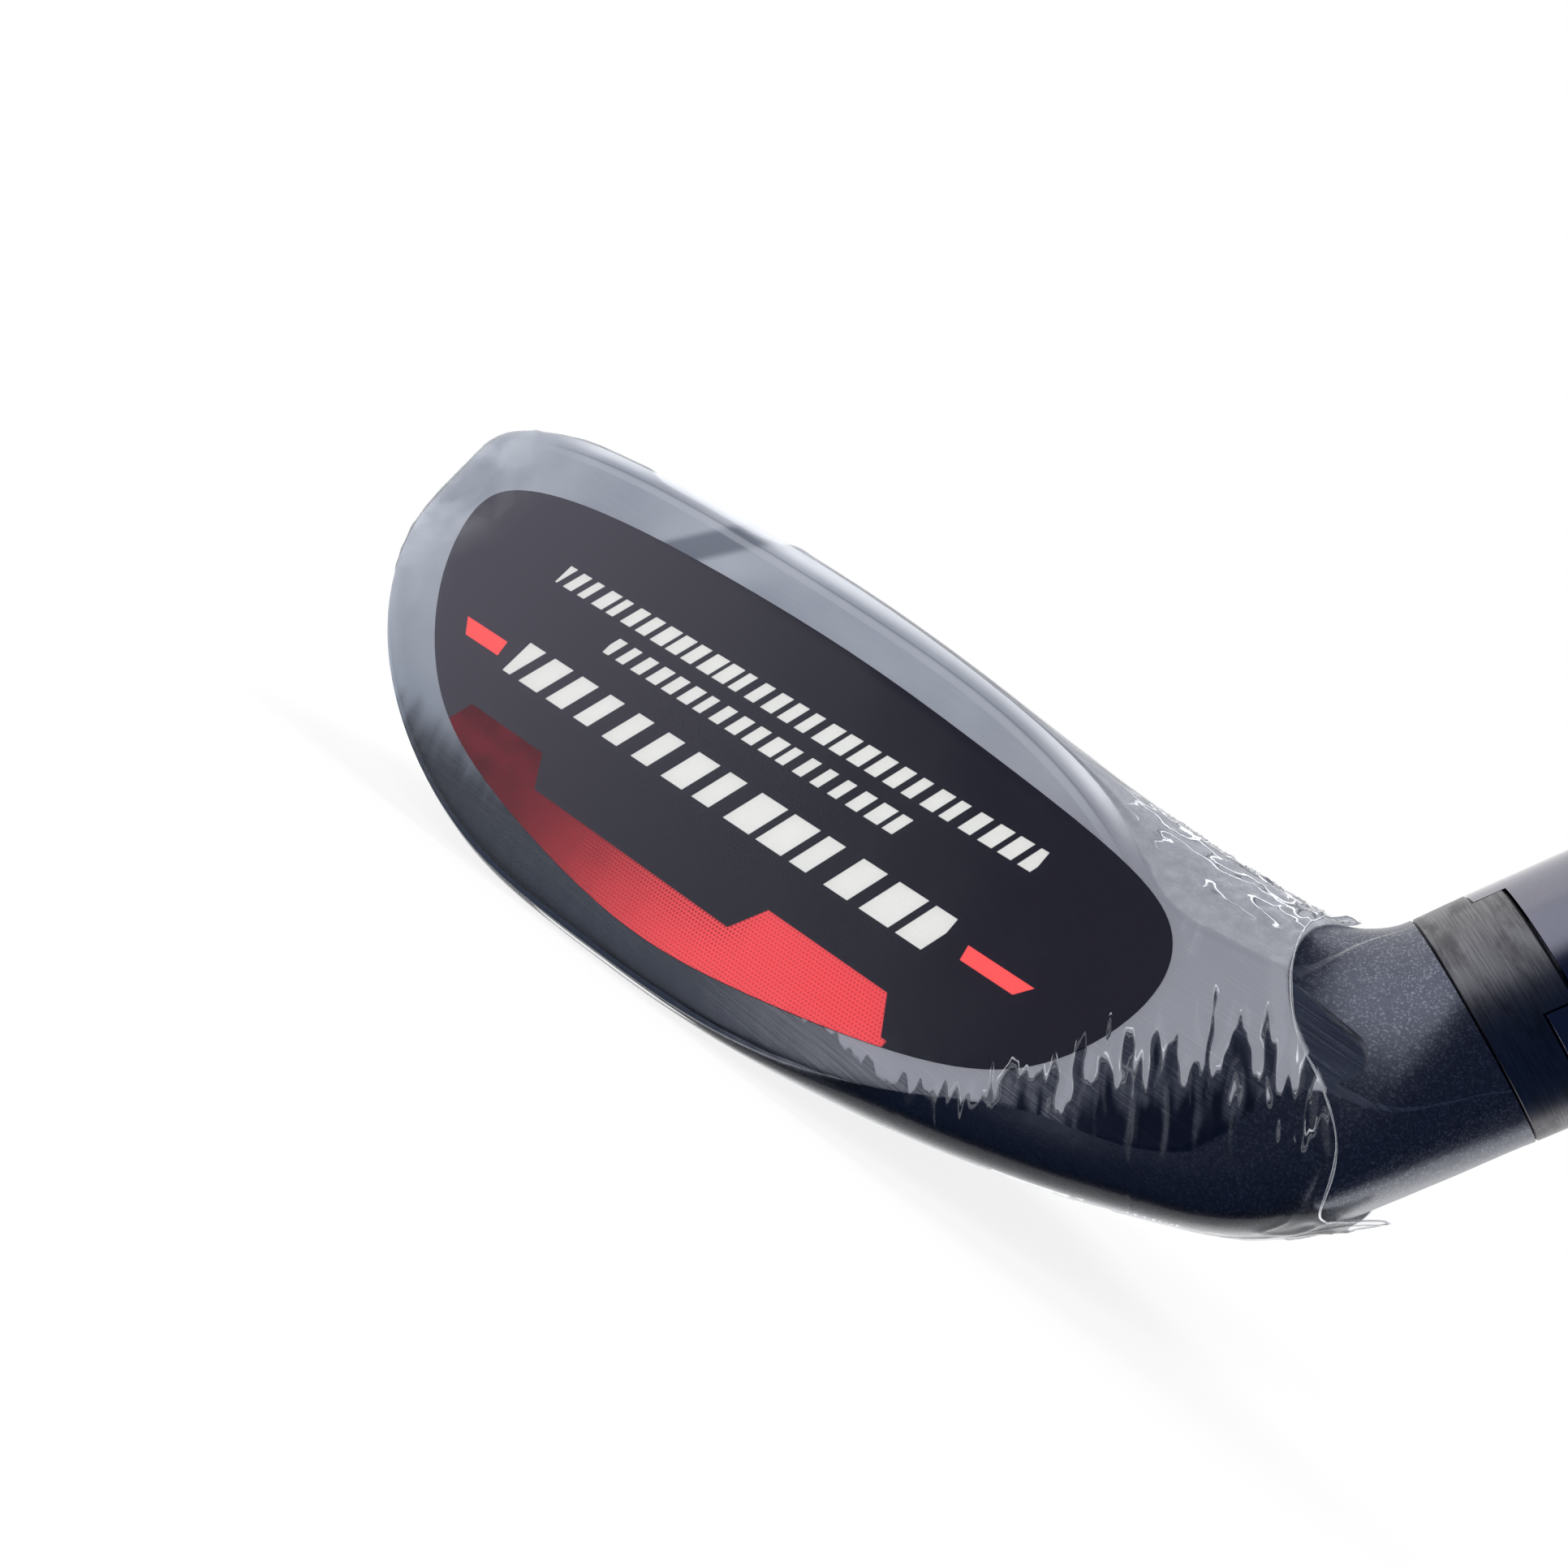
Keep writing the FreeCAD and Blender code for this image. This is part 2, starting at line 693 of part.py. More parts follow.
def turned(name, corners, placement=ALONG_SHAFT):
    """A piece turned about its own Z axis."""
    body = doc.addObject("PartDesign::Body", name)
    body.Label = name
    sketch = outline_sketch(body, name + "_outline", corners)
    turning = body.newObject("PartDesign::Revolution", name + "_turned")
    turning.Profile = sketch
    turning.ReferenceAxis = (sketch, ["V_Axis"])
    turning.Angle = 360
    body.Placement = placement
    doc.recompute()
    nodes.append(body)
    return body


def need_less(body, before, what):
    doc.recompute()
    if body.Shape.Volume >= before - 1e-6:
        raise RuntimeError(f"{body.Name}: {what} cut nothing")


def cut_sectors(body, name, corners, angle, count, turn):
    """Grooves part of the way round, the middle of the first turned from the body's X axis."""
    before = body.Shape.Volume
    sketch = outline_sketch(body, name + "_outline", corners)
    sketch.AttachmentOffset = Placement(Vector(), Rotation(Vector(0, 1, 0), turn))
    angle = measure(angle)
    groove = body.newObject("PartDesign::Groove", name)
    groove.Profile = sketch
    groove.ReferenceAxis = (sketch, ["V_Axis"])
    groove.Midplane = True
    groove.Angle = angle.value
    groove.setExpression("Angle", angle.text)
    need_less(body, before, name)
    if count > 1:
        axis = [item for item in body.Origin.OriginFeatures if item.Role == "Z_Axis"][0]
        pattern = body.newObject("PartDesign::PolarPattern", name + "_pattern")
        pattern.Originals = [groove]
        pattern.Axis = (axis, [""])
        pattern.Angle = 360
        pattern.Occurrences = count
        body.Tip = pattern
        need_less(body, before, name)


def cut_hexagon(body, name, across_flats, height, depth, reverse):
    """A hexagon socket from a height of the body's Z axis, upwards if reversed."""
    before = body.Shape.Volume
    sketch = body.newObject("Sketcher::SketchObject", name + "_outline")
    plane = [item for item in body.Origin.OriginFeatures if item.Role == "XY_Plane"][0]
    sketch.AttachmentSupport = (plane, [""])
    sketch.MapMode = "FlatFace"
    sketch.AttachmentOffset = Placement(Vector(0, 0, height), Rotation())
    radius = measure(across_flats) / math.sqrt(3)
    corners = []
    for k in range(6):
        angle = math.pi / 3 * k
        corners.append(Vector(radius.value * math.cos(angle), radius.value * math.sin(angle), 0))
    for k in range(6):
        sketch.addGeometry(Part.LineSegment(corners[k], corners[(k + 1) % 6]), False)
    circle = sketch.addGeometry(Part.Circle(Vector(), Vector(0, 0, 1), radius.value), True)
    for k in range(6):
        sketch.addConstraint(Sketcher.Constraint("Coincident", k, 2, (k + 1) % 6, 1))
        sketch.addConstraint(Sketcher.Constraint("PointOnObject", k, 1, circle))
    for k in range(5):
        sketch.addConstraint(Sketcher.Constraint("Equal", k, k + 1))
    sketch.addConstraint(Sketcher.Constraint("Coincident", circle, 3, -1, 1))
    sketch.addConstraint(Sketcher.Constraint("PointOnObject", 0, 1, -1))
    wide = sketch.addConstraint(Sketcher.Constraint("Radius", circle, radius.value))
    sketch.setExpression(f"Constraints[{wide}]", radius.text)
    pocket = body.newObject("PartDesign::Pocket", name)
    pocket.Profile = sketch
    pocket.Reversed = reverse
    pocket.Length = size(depth)
    pocket.setExpression("Length", f"sizes.{depth}")
    need_less(body, before, name)


def spun(turn):
    """Along the shaft, with the body's X axis turned about it."""
    return ALONG_SHAFT.multiply(Placement(Vector(), Rotation(Vector(0, 0, 1), turn)))


clearance = measure("running_clearance")
bond = measure("bond_gap")
edge = measure("edge_break")
seam = measure("seam_gap")
bore = half("hosel_bore")
hosel = half("hosel_diameter")
hosel_top = measure("hosel_top")
shank = bore - clearance
rim = hosel_top + "ring_height"
tooth_top = rim + "tooth_height"

# hosel screw, its washer and the clip that keeps it in the head

seat_bottom = measure("seat_top") - "seat_thickness"
washer_bottom = seat_bottom - "washer_thickness"
screw_bottom = washer_bottom - "screw_head_height"
screw_radius = half("screw_diameter")
screw_top = washer_bottom + "screw_length"
head_radius = half("screw_head_diameter")
tip_break = measure("edge_break") * 3

screw = turned("hosel_screw", [
    (0, screw_bottom),
    (head_radius - edge, screw_bottom),
    (head_radius, screw_bottom + edge),
    (head_radius, washer_bottom),
    (screw_radius, washer_bottom),
    (screw_radius, screw_top - tip_break),
    (screw_radius - tip_break, screw_top),
    (0, screw_top),
])
cut_hexagon(screw, "screw_socket", "screw_socket", screw_bottom.value, "socket_depth", True)

turned("screw_washer", [
    (screw_radius + clearance, washer_bottom),
    (head_radius + edge, washer_bottom),
    (head_radius + edge, seat_bottom),
    (screw_radius + clearance, seat_bottom),
])

clip_outer = half("screw_port_diameter") + "clip_bite" - clearance
clip_top = screw_bottom - "clip_gap"
clip_low = clip_top - "clip_thickness"
clip = turned("screw_clip", [
    (clip_outer - "clip_bite" - "clip_width", clip_low),
    (clip_outer, clip_low),
    (clip_outer, clip_top),
    (clip_outer - "clip_bite" - "clip_width", clip_top),
])
cut_sectors(clip, "clip_gap_cut", [
    (clip_outer - "clip_bite" - "clip_width" - SPARE / 10, clip_low - SPARE),
    (clip_outer + SPARE, clip_low - SPARE),
    (clip_outer + SPARE, clip_top + SPARE),
    (clip_outer - "clip_bite" - "clip_width" - SPARE / 10, clip_top + SPARE),
], "clip_opening", 1, 90)

# lie ring: teeth above, keys below

key_outer = bore + "key_thickness"
ring_inner = bore
key_low = hosel_top - "key_depth"
ring = turned("lie_ring", [
    (ring_inner, key_low),
    (key_outer, key_low),
    (key_outer, hosel_top),
    (hosel - edge, hosel_top),
    (hosel, hosel_top + edge),
    (hosel, tooth_top - edge),
    (hosel - edge, tooth_top),
    (ring_inner, tooth_top),
], spun(RING_TURN))
cut_sectors(ring, "between_teeth", [
    (ring_inner - clearance, rim),
    (hosel + SPARE, rim),
    (hosel + SPARE, tooth_top + SPARE),
    (ring_inner - clearance, tooth_top + SPARE),
], measure(360 / size("tooth_count")) - "tooth_angle", int(size("tooth_count")), 0)
cut_sectors(ring, "between_keys", [
    (ring_inner - clearance, key_low - SPARE),
    (key_outer + clearance, key_low - SPARE),
    (key_outer + clearance, hosel_top),
    (ring_inner - clearance, hosel_top),
], measure(360 / size("key_count")) - "key_angle", int(size("key_count")), 0)

# shaft sleeve, its notches over the ring's teeth, and the insert that the screw pulls

sleeve_bottom = measure("seat_top") + "sleeve_floor_gap"
insert_top = sleeve_bottom + "insert_length"
insert_radius = half("insert_diameter")
pocket_bottom = insert_top + bond + "pocket_floor"
pocket_radius = half("shaft_tip_diameter") + bond
collar_top = measure("collar_top")
collar_radius = half("collar_top_diameter")

sleeve = turned("shaft_sleeve", [
    (insert_radius + bond, sleeve_bottom),
    (shank - edge, sleeve_bottom),
    (shank, sleeve_bottom + edge),
    (shank, rim),
    (hosel - edge, rim),
    (hosel, rim + edge),
    (collar_radius, collar_top),
    (pocket_radius, collar_top),
    (pocket_radius, pocket_bottom),
    (0, pocket_bottom),
    (0, insert_top + bond),
    (insert_radius + bond, insert_top + bond),
], spun(size("tooth_turn")))
notch_top = tooth_top + seam
notch_angle = measure("tooth_angle") + seam * (360 / math.pi) / hosel
cut_sectors(sleeve, "tooth_notches", [
    (shank, rim - clearance),
    (hosel + SPARE, rim - clearance),
    (hosel + SPARE, notch_top),
    (shank, notch_top),
], notch_angle, int(size("tooth_count")), 0)

turned("thread_insert", [
    (screw_radius + clearance, sleeve_bottom),
    (insert_radius, sleeve_bottom),
    (insert_radius, insert_top),
    (screw_radius + clearance, insert_top),
])

# shaft, with the plug in its tip, the ferrule over its tip and the band below the grip

shaft_bottom = pocket_bottom + bond
taper_start = pocket_bottom + "shaft_tip_parallel"
cap_bottom = measure("club_length") - "cap_thickness"
shaft_top = cap_bottom - bond
tip_radius = half("shaft_tip_diameter")
butt_radius = half("shaft_butt_diameter")


def shaft_radius(height):
    """The shaft's radius on its taper."""
    share = (height - taper_start) / (shaft_top - taper_start)
    return tip_radius + (butt_radius - tip_radius) * share


turned("shaft", [
    (tip_radius - "shaft_tip_wall", shaft_bottom),
    (tip_radius, shaft_bottom),
    (tip_radius, taper_start),
    (butt_radius, shaft_top),
    (butt_radius - "shaft_butt_wall", shaft_top),
    (tip_radius - "shaft_tip_wall", taper_start),
])

plug_radius = tip_radius - "shaft_tip_wall" - bond
plug_top = shaft_bottom + "plug_length"
turned("tip_plug", [
    (0, shaft_bottom),
    (plug_radius, shaft_bottom),
    (plug_radius, plug_top - tip_break),
    (plug_radius - tip_break, plug_top),
    (0, plug_top),
])

ferrule_top = collar_top + "ferrule_length"
ferrule_shoulder = collar_top + "ferrule_shoulder"
shoulder_radius = collar_radius - edge
turned("ferrule", [
    (pocket_radius, collar_top),
    (collar_radius - edge, collar_top),
    (collar_radius, collar_top + edge),
    (shoulder_radius, ferrule_shoulder),
    (half("ferrule_tip_diameter"), ferrule_top),
    (pocket_radius, ferrule_top),
])

grip_bottom = measure("club_length") - "grip_length"
band_top = grip_bottom - "band_gap"
band_bottom = band_top - "band_length"
band_skin = bond + "band_thickness"
turned("shaft_band", [
    (shaft_radius(band_bottom) + bond, band_bottom),
    (shaft_radius(band_bottom) + band_skin, band_bottom),
    (shaft_radius(band_top) + band_skin, band_top),
    (shaft_radius(band_top) + bond, band_top),
])

# grip tape, grip and its cap

tape_bottom = grip_bottom + "grip_mouth_length"
tape_skin = bond + "grip_tape_thickness"
turned("grip_tape", [
    (shaft_radius(tape_bottom) + bond, tape_bottom),
    (shaft_radius(tape_bottom) + tape_skin, tape_bottom),
    (butt_radius + tape_skin, shaft_top),
    (butt_radius + bond, shaft_top),
])

grip_skin = tape_skin + bond
mouth_radius = half("grip_mouth_diameter")
middle_radius = half("grip_middle_diameter")
grip_butt = half("grip_butt_diameter")
bead_bottom = cap_bottom - "cap_bead_height"
turned("grip", [
    (shaft_radius(grip_bottom) + grip_skin, grip_bottom),
    (mouth_radius - edge * 3, grip_bottom),
    (mouth_radius, grip_bottom + "grip_mouth_length"),
    (middle_radius, grip_bottom + "grip_middle_length"),
    (grip_butt - edge * 3, bead_bottom),
    (grip_butt, cap_bottom),
    (butt_radius + grip_skin, cap_bottom),
])

club_top = measure("club_length")
turned("grip_cap", [
    (half("vent_diameter"), cap_bottom),
    (grip_butt, cap_bottom),
    (grip_butt, club_top - "cap_edge"),
    (grip_butt - "cap_edge", club_top),
    (half("vent_diameter"), club_top),
])

# swing weight, screwed into the sole; its own Z axis points out of the sole

weight_face = measure(0) - "weight_recess"
weight_shoulder = weight_face - "weight_head_height"
weight_end = weight_face - "weight_length"
weight_head_radius = half("weight_head_diameter")
weight_thread_radius = half("weight_thread_diameter")
weight_place = Placement(WEIGHT_FOOT, Rotation(Vector(1, 0, 0), 180 + size("weight_tilt")))
weight = turned("swing_weight", [
    (0, weight_end),
    (weight_thread_radius - edge, weight_end),
    (weight_thread_radius, weight_end + edge),
    (weight_thread_radius, weight_shoulder),
    (weight_head_radius, weight_shoulder),
    (weight_head_radius, weight_face - edge),
    (weight_head_radius - edge, weight_face),
    (0, weight_face),
], weight_place)
cut_hexagon(weight, "weight_socket", "weight_socket", weight_face.value, "weight_socket_depth", False)

# ---------------------------------------------------------------- checks and files

doc.recompute()
for item in doc.Objects:
    if "Invalid" in item.State or "Error" in item.State:
        raise RuntimeError(f"{item.Name} failed: {item.State}")
for node in nodes:
    if node.Shape.isNull() or not node.Shape.isValid() or len(node.Shape.Solids) != 1:
        raise RuntimeError(f"{node.Name} is not one valid solid")
os.makedirs("parts", exist_ok=True)
for node in nodes:
    node.Shape.exportStep(f"parts/{node.Label}.step")
    box = node.Shape.optimalBoundingBox()
    print(f"{node.Label}: {node.Shape.Volume:.1f} mm3, z {box.ZMin:.2f} to {box.ZMax:.2f}")
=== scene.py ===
# %% [markdown]
# # A hybrid golf club, still in its wrapping
#
# The club is new: a dark steel head with a face sticker, and a clear film shrunk round the head. The
# film ends in a thin bright line round the neck. The hosel is painted with silver flake, and above it
# sit a brushed ring and a gloss black sleeve. The packed frame holds every solid piece at its real
# place, so this script gives finishes to those, and models what CAD can't: the film with its creases
# and its cut end, and the grip's moulded pattern.

# %% Load the frame
import json
import math

import bmesh
import bpy
import numpy as np
from mathutils import Matrix, Vector, noise
from mathutils.bvhtree import BVHTree


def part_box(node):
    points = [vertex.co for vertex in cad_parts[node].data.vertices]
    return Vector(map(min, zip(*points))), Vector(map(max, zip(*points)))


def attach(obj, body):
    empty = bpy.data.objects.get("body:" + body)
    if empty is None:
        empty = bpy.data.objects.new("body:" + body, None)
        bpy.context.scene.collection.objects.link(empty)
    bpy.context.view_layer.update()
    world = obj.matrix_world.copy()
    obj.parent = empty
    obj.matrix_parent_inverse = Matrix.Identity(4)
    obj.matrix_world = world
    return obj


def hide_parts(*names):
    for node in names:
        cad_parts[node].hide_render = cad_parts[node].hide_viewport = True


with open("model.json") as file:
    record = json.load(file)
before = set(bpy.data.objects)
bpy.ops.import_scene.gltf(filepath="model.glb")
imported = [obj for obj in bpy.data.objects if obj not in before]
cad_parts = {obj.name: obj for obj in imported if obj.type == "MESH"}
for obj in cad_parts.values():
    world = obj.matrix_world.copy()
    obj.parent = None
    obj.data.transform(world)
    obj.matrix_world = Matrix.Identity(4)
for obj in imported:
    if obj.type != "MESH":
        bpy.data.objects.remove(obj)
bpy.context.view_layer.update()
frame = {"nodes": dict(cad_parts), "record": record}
nodes = frame["nodes"]

# %% [markdown]
# ## The club's own directions
#
# Two slanted frames are used all through. One runs along the shaft: its axis comes from the vent
# hole's mount, and a height on it is measured from where it meets the ground. The other lies in the
# face, which leans back by the loft. With these, a place reads as a golfer would say it: so far up the
# face, so far up the shaft, so far round it.

# %% The club's own directions
MM = 0.001
LOFT = math.radians(20.0)
FACE_PROGRESSION = 15.4 * MM      # the face's leading edge line is this far ahead of the shaft axis
HOSEL_RADIUS = 7.75 * MM
HOSEL_TOP = 33.8 * MM
NECK_RADIUS = 5.5 * MM

mounts = {mount["name"]: mount for mount in frame["record"]["mounts"]}
AXIS = Vector(mounts["grip_vent_hole"]["axis"]).normalized()
vent = Vector(mounts["grip_vent_hole"]["pos_m"])
GROUND_POINT = vent - AXIS * (vent.z / AXIS.z)
ACROSS = Vector((AXIS.z, 0.0, -AXIS.x))       # away from the head, square to the shaft
FACE_OUT = Vector((0.0, -math.cos(LOFT), math.sin(LOFT)))
UP_FACE = Vector((0.0, math.sin(LOFT), math.cos(LOFT)))
FACE_FOOT = Vector((0.0, -FACE_PROGRESSION, 0.0))
ALONG_Y = Vector((0.0, 1.0, 0.0))
NECK_CENTRE = GROUND_POINT + AXIS * HOSEL_TOP - ACROSS * (HOSEL_RADIUS + NECK_RADIUS)


def on_shaft(height, turn=0.0, radius=0.0):
    """A point up the shaft, turned round it from the side away from the head."""
    side = ACROSS * math.cos(turn) + ALONG_Y * math.sin(turn)
    return GROUND_POINT + AXIS * height + side * radius


print("shaft leans", round(math.degrees(math.asin(AXIS.z)), 2), "neck centre", NECK_CENTRE)

# %% [markdown]
# ## The camera
#
# The view is a close one, from the heel side and low down, with the camera rolled so that the head
# hangs to the left. Three turns place it: round the vertical, a slight pitch, and the roll. A short
# distance makes the perspective strong, which is why the near hosel looks as wide as the face.

# %% The camera
CAMERA_PLACE = Vector((60.141, -110.827, 17.055)) * MM
CAMERA_TURN = math.radians(29.1154)
CAMERA_PITCH = math.radians(-0.4845)
CAMERA_ROLL = math.radians(32.8118)
SENSOR_WIDTH = 36.0
LENS = 36.056                # millimetres, as long as the sensor is wide: about 53 degrees across

level_right = Vector((math.cos(CAMERA_TURN), math.sin(CAMERA_TURN), 0.0))
level_ahead = Vector((-math.sin(CAMERA_TURN), math.cos(CAMERA_TURN), 0.0))
vertical = Vector((0.0, 0.0, 1.0))
VIEW_AHEAD = level_ahead * math.cos(CAMERA_PITCH) - vertical * math.sin(CAMERA_PITCH)
pitched_up = vertical * math.cos(CAMERA_PITCH) + level_ahead * math.sin(CAMERA_PITCH)
VIEW_RIGHT = level_right * math.cos(CAMERA_ROLL) + pitched_up * math.sin(CAMERA_ROLL)
VIEW_UP = pitched_up * math.cos(CAMERA_ROLL) - level_right * math.sin(CAMERA_ROLL)

camera_data = bpy.data.cameras.new("camera")
camera_data.sensor_width = SENSOR_WIDTH
camera_data.lens = LENS
camera_data.clip_start = 0.005
camera_data.clip_end = 50.0
camera = bpy.data.objects.new("camera", camera_data)
bpy.context.scene.collection.objects.link(camera)
turned = Matrix((VIEW_RIGHT, VIEW_UP, -VIEW_AHEAD)).transposed()
camera.matrix_world = Matrix.Translation(CAMERA_PLACE) @ turned.to_4x4()
bpy.context.scene.camera = camera
bpy.context.scene.view_settings.view_transform = "Standard"
print("camera at", [round(v / MM, 1) for v in CAMERA_PLACE], "mm, looking along", VIEW_AHEAD)

# %% [markdown]
# ## Shader maths as Python
#
# A procedural finish is arithmetic on fields: how far up the face, how noisy, how close to an edge.
# Written as nodes it is hard to read, so a small class wraps a socket and lets `+`, `*` or `1 - mask`
# add the Math nodes. Any other node comes from one method, which takes its settings first and then
# what goes into its sockets.


# %% A socket that Python can do sums with
class Field:
    """One output of a node tree, with arithmetic that adds Math nodes."""

    def __init__(self, finish, socket):
        self.finish = finish
        self.socket = socket

    def maths(self, operation, first, second=0.0, third=0.0):
        inputs = {0: first, 1: second, 2: third}
        return self.finish.node("ShaderNodeMath", {"operation": operation}, inputs)

    def __add__(self, other):
        return self.maths("ADD", self, other)

    def __sub__(self, other):
        return self.maths("SUBTRACT", self, other)

    def __mul__(self, other):
        return self.maths("MULTIPLY", self, other)

    def __truediv__(self, other):
        return self.maths("DIVIDE", self, other)

    def __rsub__(self, other):
        return self.maths("SUBTRACT", other, self)

    def __neg__(self):
        return self.maths("MULTIPLY", self, -1.0)

    def __pow__(self, other):
        return self.maths("POWER", self, other)

    __radd__ = __add__
    __rmul__ = __mul__

    def high(self, other):
        return self.maths("MAXIMUM", self, other)

    def low(self, other):
        return self.maths("MINIMUM", self, other)

    def size(self):
        return self.maths("ABSOLUTE", self)

    def fraction(self):
        return self.maths("FRACT", self)

    def whole(self):
        return self.maths("FLOOR", self)

    def bell(self, middle, width):
        """1 at the middle, falling smoothly away on both sides."""
        away = (self - middle) / width
        return self.maths("EXPONENT", -(away * away))

    def rise(self, start, end):
        """0 before start and 1 after end, with a smooth climb between. It falls if end is below start."""
        settings = {"interpolation_type": "SMOOTHSTEP"}
        inputs = {0: self, 1: start, 2: end, 3: 0.0, 4: 1.0}
        return self.finish.node("ShaderNodeMapRange", settings, inputs)

    def within(self, start, end, soft):
        """1 between start and end, with soft borders."""
        return self.rise(start - soft, start + soft) * self.rise(end + soft, end - soft)


print("a field also knows", [name for name in vars(Field) if not name.startswith("_")])

# %% A finish: one material and the tools to build it
class Finish:
    """A material with one Principled shader, and the fields that feed it."""

    def __init__(self, name, world=None):
        if world is None:
            self.material = bpy.data.materials.new(name)
            self.material.use_nodes = True
            self.tree = self.material.node_tree
            self.shader = self.tree.nodes["Principled BSDF"]
            self.output = self.tree.nodes["Material Output"]
        else:
            self.tree = world.node_tree
            self.tree.nodes.clear()

    def node(self, kind, settings=None, inputs=None, output=0):
        made = self.tree.nodes.new(kind)
        for name, value in (settings or {}).items():
            if name == "stops":
                for _ in range(len(value) - 2):
                    made.color_ramp.elements.new(0.5)
                for element, (position, colour) in zip(made.color_ramp.elements, value):
                    element.position = position
                    element.color = (*colour, 1.0)
            else:
                setattr(made, name, value)
        for key, value in (inputs or {}).items():
            self.feed(made.inputs[key], value)
        return Field(self, made.outputs[output])

    def feed(self, socket, value):
        if isinstance(value, Field):
            self.tree.links.new(value.socket, socket)
        elif socket.type == "RGBA" and len(value) == 3:
            socket.default_value = (*value, 1.0)
        else:
            socket.default_value = value

    def set(self, **values):
        """Feeds the shader: base_color becomes its Base Color socket, and so on."""
        for name, value in values.items():
            socket_name = name.replace("_", " ").title().replace("Ior", "IOR")
            self.feed(self.shader.inputs[socket_name], value)
        return self

    def place(self):
        """Where the point is on the club, in millimetres."""
        spot = self.node("ShaderNodeTexCoord", output=3)
        return self.node("ShaderNodeVectorMath", {"operation": "SCALE"}, {0: spot, 3: 1.0 / MM})

    def along(self, direction, origin=Vector((0.0, 0.0, 0.0))):
        """Millimetres from an origin along a direction."""
        inputs = {0: self.place(), 1: tuple(direction)}
        reach = self.node("ShaderNodeVectorMath", {"operation": "DOT_PRODUCT"}, inputs, output=1)
        return reach - origin.dot(direction) / MM

    def pack(self, x, y, z):
        return self.node("ShaderNodeCombineXYZ", None, {0: x, 1: y, 2: z})

    def noise(self, spot, scale, detail=3.0, roughness=0.5):
        inputs = {"Vector": spot, "Scale": scale, "Detail": detail, "Roughness": roughness}
        return self.node("ShaderNodeTexNoise", {"normalize": True}, inputs)

    def flakes(self, scale):
        """A number from 0 to 1 that is the same all over one flake, and differs between flakes."""
        inputs = {"Vector": self.place(), "Scale": scale}
        colour = self.node("ShaderNodeTexVoronoi", {"feature": "F1"}, inputs, output=1)
        return self.node("ShaderNodeSeparateColor", None, {0: colour})

    def mix(self, factor, first, second):
        return self.node("ShaderNodeMix", {"data_type": "RGBA"}, {0: factor, 6: first, 7: second}, output=2)

    def bump(self, height, distance, strength=1.0):
        """Relief of a height field: distance is in millimetres at a height of 1."""
        inputs = {"Height": height, "Distance": distance * MM, "Strength": strength}
        return self.node("ShaderNodeBump", None, inputs)

    def let_through(self, share):
        """Shows the shader by a share, and what lies behind it by the rest."""
        clear = self.tree.nodes.new("ShaderNodeBsdfTransparent")
        self.blend(share, clear, self.shader)

    def blend(self, share, first, second):
        """Feeds the material's surface with a mix of two shaders."""
        mixed = self.tree.nodes.new("ShaderNodeMixShader")
        self.feed(mixed.inputs[0], share)
        self.tree.links.new(first.outputs[0], mixed.inputs[1])
        self.tree.links.new(second.outputs[0], mixed.inputs[2])
        self.tree.links.new(mixed.outputs[0], self.output.inputs["Surface"])

    def shaft_frame(self):
        """Height up the shaft, and the turn round it in radians."""
        height = self.along(AXIS, GROUND_POINT)
        sideways = self.along(ACROSS, GROUND_POINT)
        forwards = self.along(ALONG_Y, GROUND_POINT)
        turn = self.node("ShaderNodeMath", {"operation": "ARCTAN2"}, {0: forwards, 1: sideways})
        return height, turn


SHARP_ANGLE = math.radians(28.0)


def give(finish, name):
    """Puts a finish on a CAD node, with smooth shading that keeps its sharp edges."""
    mesh = nodes[name].data
    mesh.materials.clear()
    mesh.materials.append(finish.material)
    mesh.shade_smooth()
    mesh.set_sharp_from_angle(angle=SHARP_ANGLE)
    print(name, "gets", finish.material.name, "with", len(finish.tree.nodes), "shader nodes")


# %% [markdown]
# ## Light, floor and background
#
# A studio picture of dark metal is a picture of what the metal reflects. Here a white backdrop wraps
# round behind the club, a bright panel hangs above it on the toe's side, and the rest of the room in
# front is nearly black. The world's shader says this as a function of direction, so every gloss piece
# shows a bright rim, a pale upper side and a dark lower side. Matt print needs more light than that,
# so two soft lamps that reflections don't see fill it in. The floor is left out of reflections too,
# because it would turn the dark underside pale.

# %% The world
world = bpy.data.worlds.new("studio")
bpy.context.scene.world = world
world.use_nodes = True
sky = Finish("studio", world)
ROOM_DARK = (0.018, 0.032, 0.080)
ROOM_PANEL = (0.88, 0.90, 0.96)
BACKDROP = (1.0, 1.0, 1.0)

look = sky.node("ShaderNodeTexCoord", output=0)
PANEL_SIDE = (VIEW_UP * 0.60 - VIEW_RIGHT * 0.80 - VIEW_AHEAD * 0.10).normalized()


def facing(direction):
    inputs = {0: look, 1: tuple(direction)}
    return sky.node("ShaderNodeVectorMath", {"operation": "DOT_PRODUCT"}, inputs, output=1)


panel = facing(PANEL_SIDE).rise(0.70, 0.84)
backdrop = facing(VIEW_AHEAD).rise(-0.02, 0.30)
seen = sky.mix(panel, ROOM_DARK, ROOM_PANEL)
seen = sky.mix(backdrop, seen, BACKDROP)
light_path = sky.tree.nodes.new("ShaderNodeLightPath")
camera_ray = Field(sky, light_path.outputs["Is Camera Ray"])
clear_ray = Field(sky, light_path.outputs["Is Transmission Ray"])
gloss_ray = Field(sky, light_path.outputs["Is Glossy Ray"])
direct = camera_ray.high(clear_ray).high(gloss_ray * backdrop)
seen = sky.mix(direct, seen, BACKDROP)
background = sky.tree.nodes.new("ShaderNodeBackground")
sky.feed(background.inputs["Color"], seen)
world_output = sky.tree.nodes.new("ShaderNodeOutputWorld")
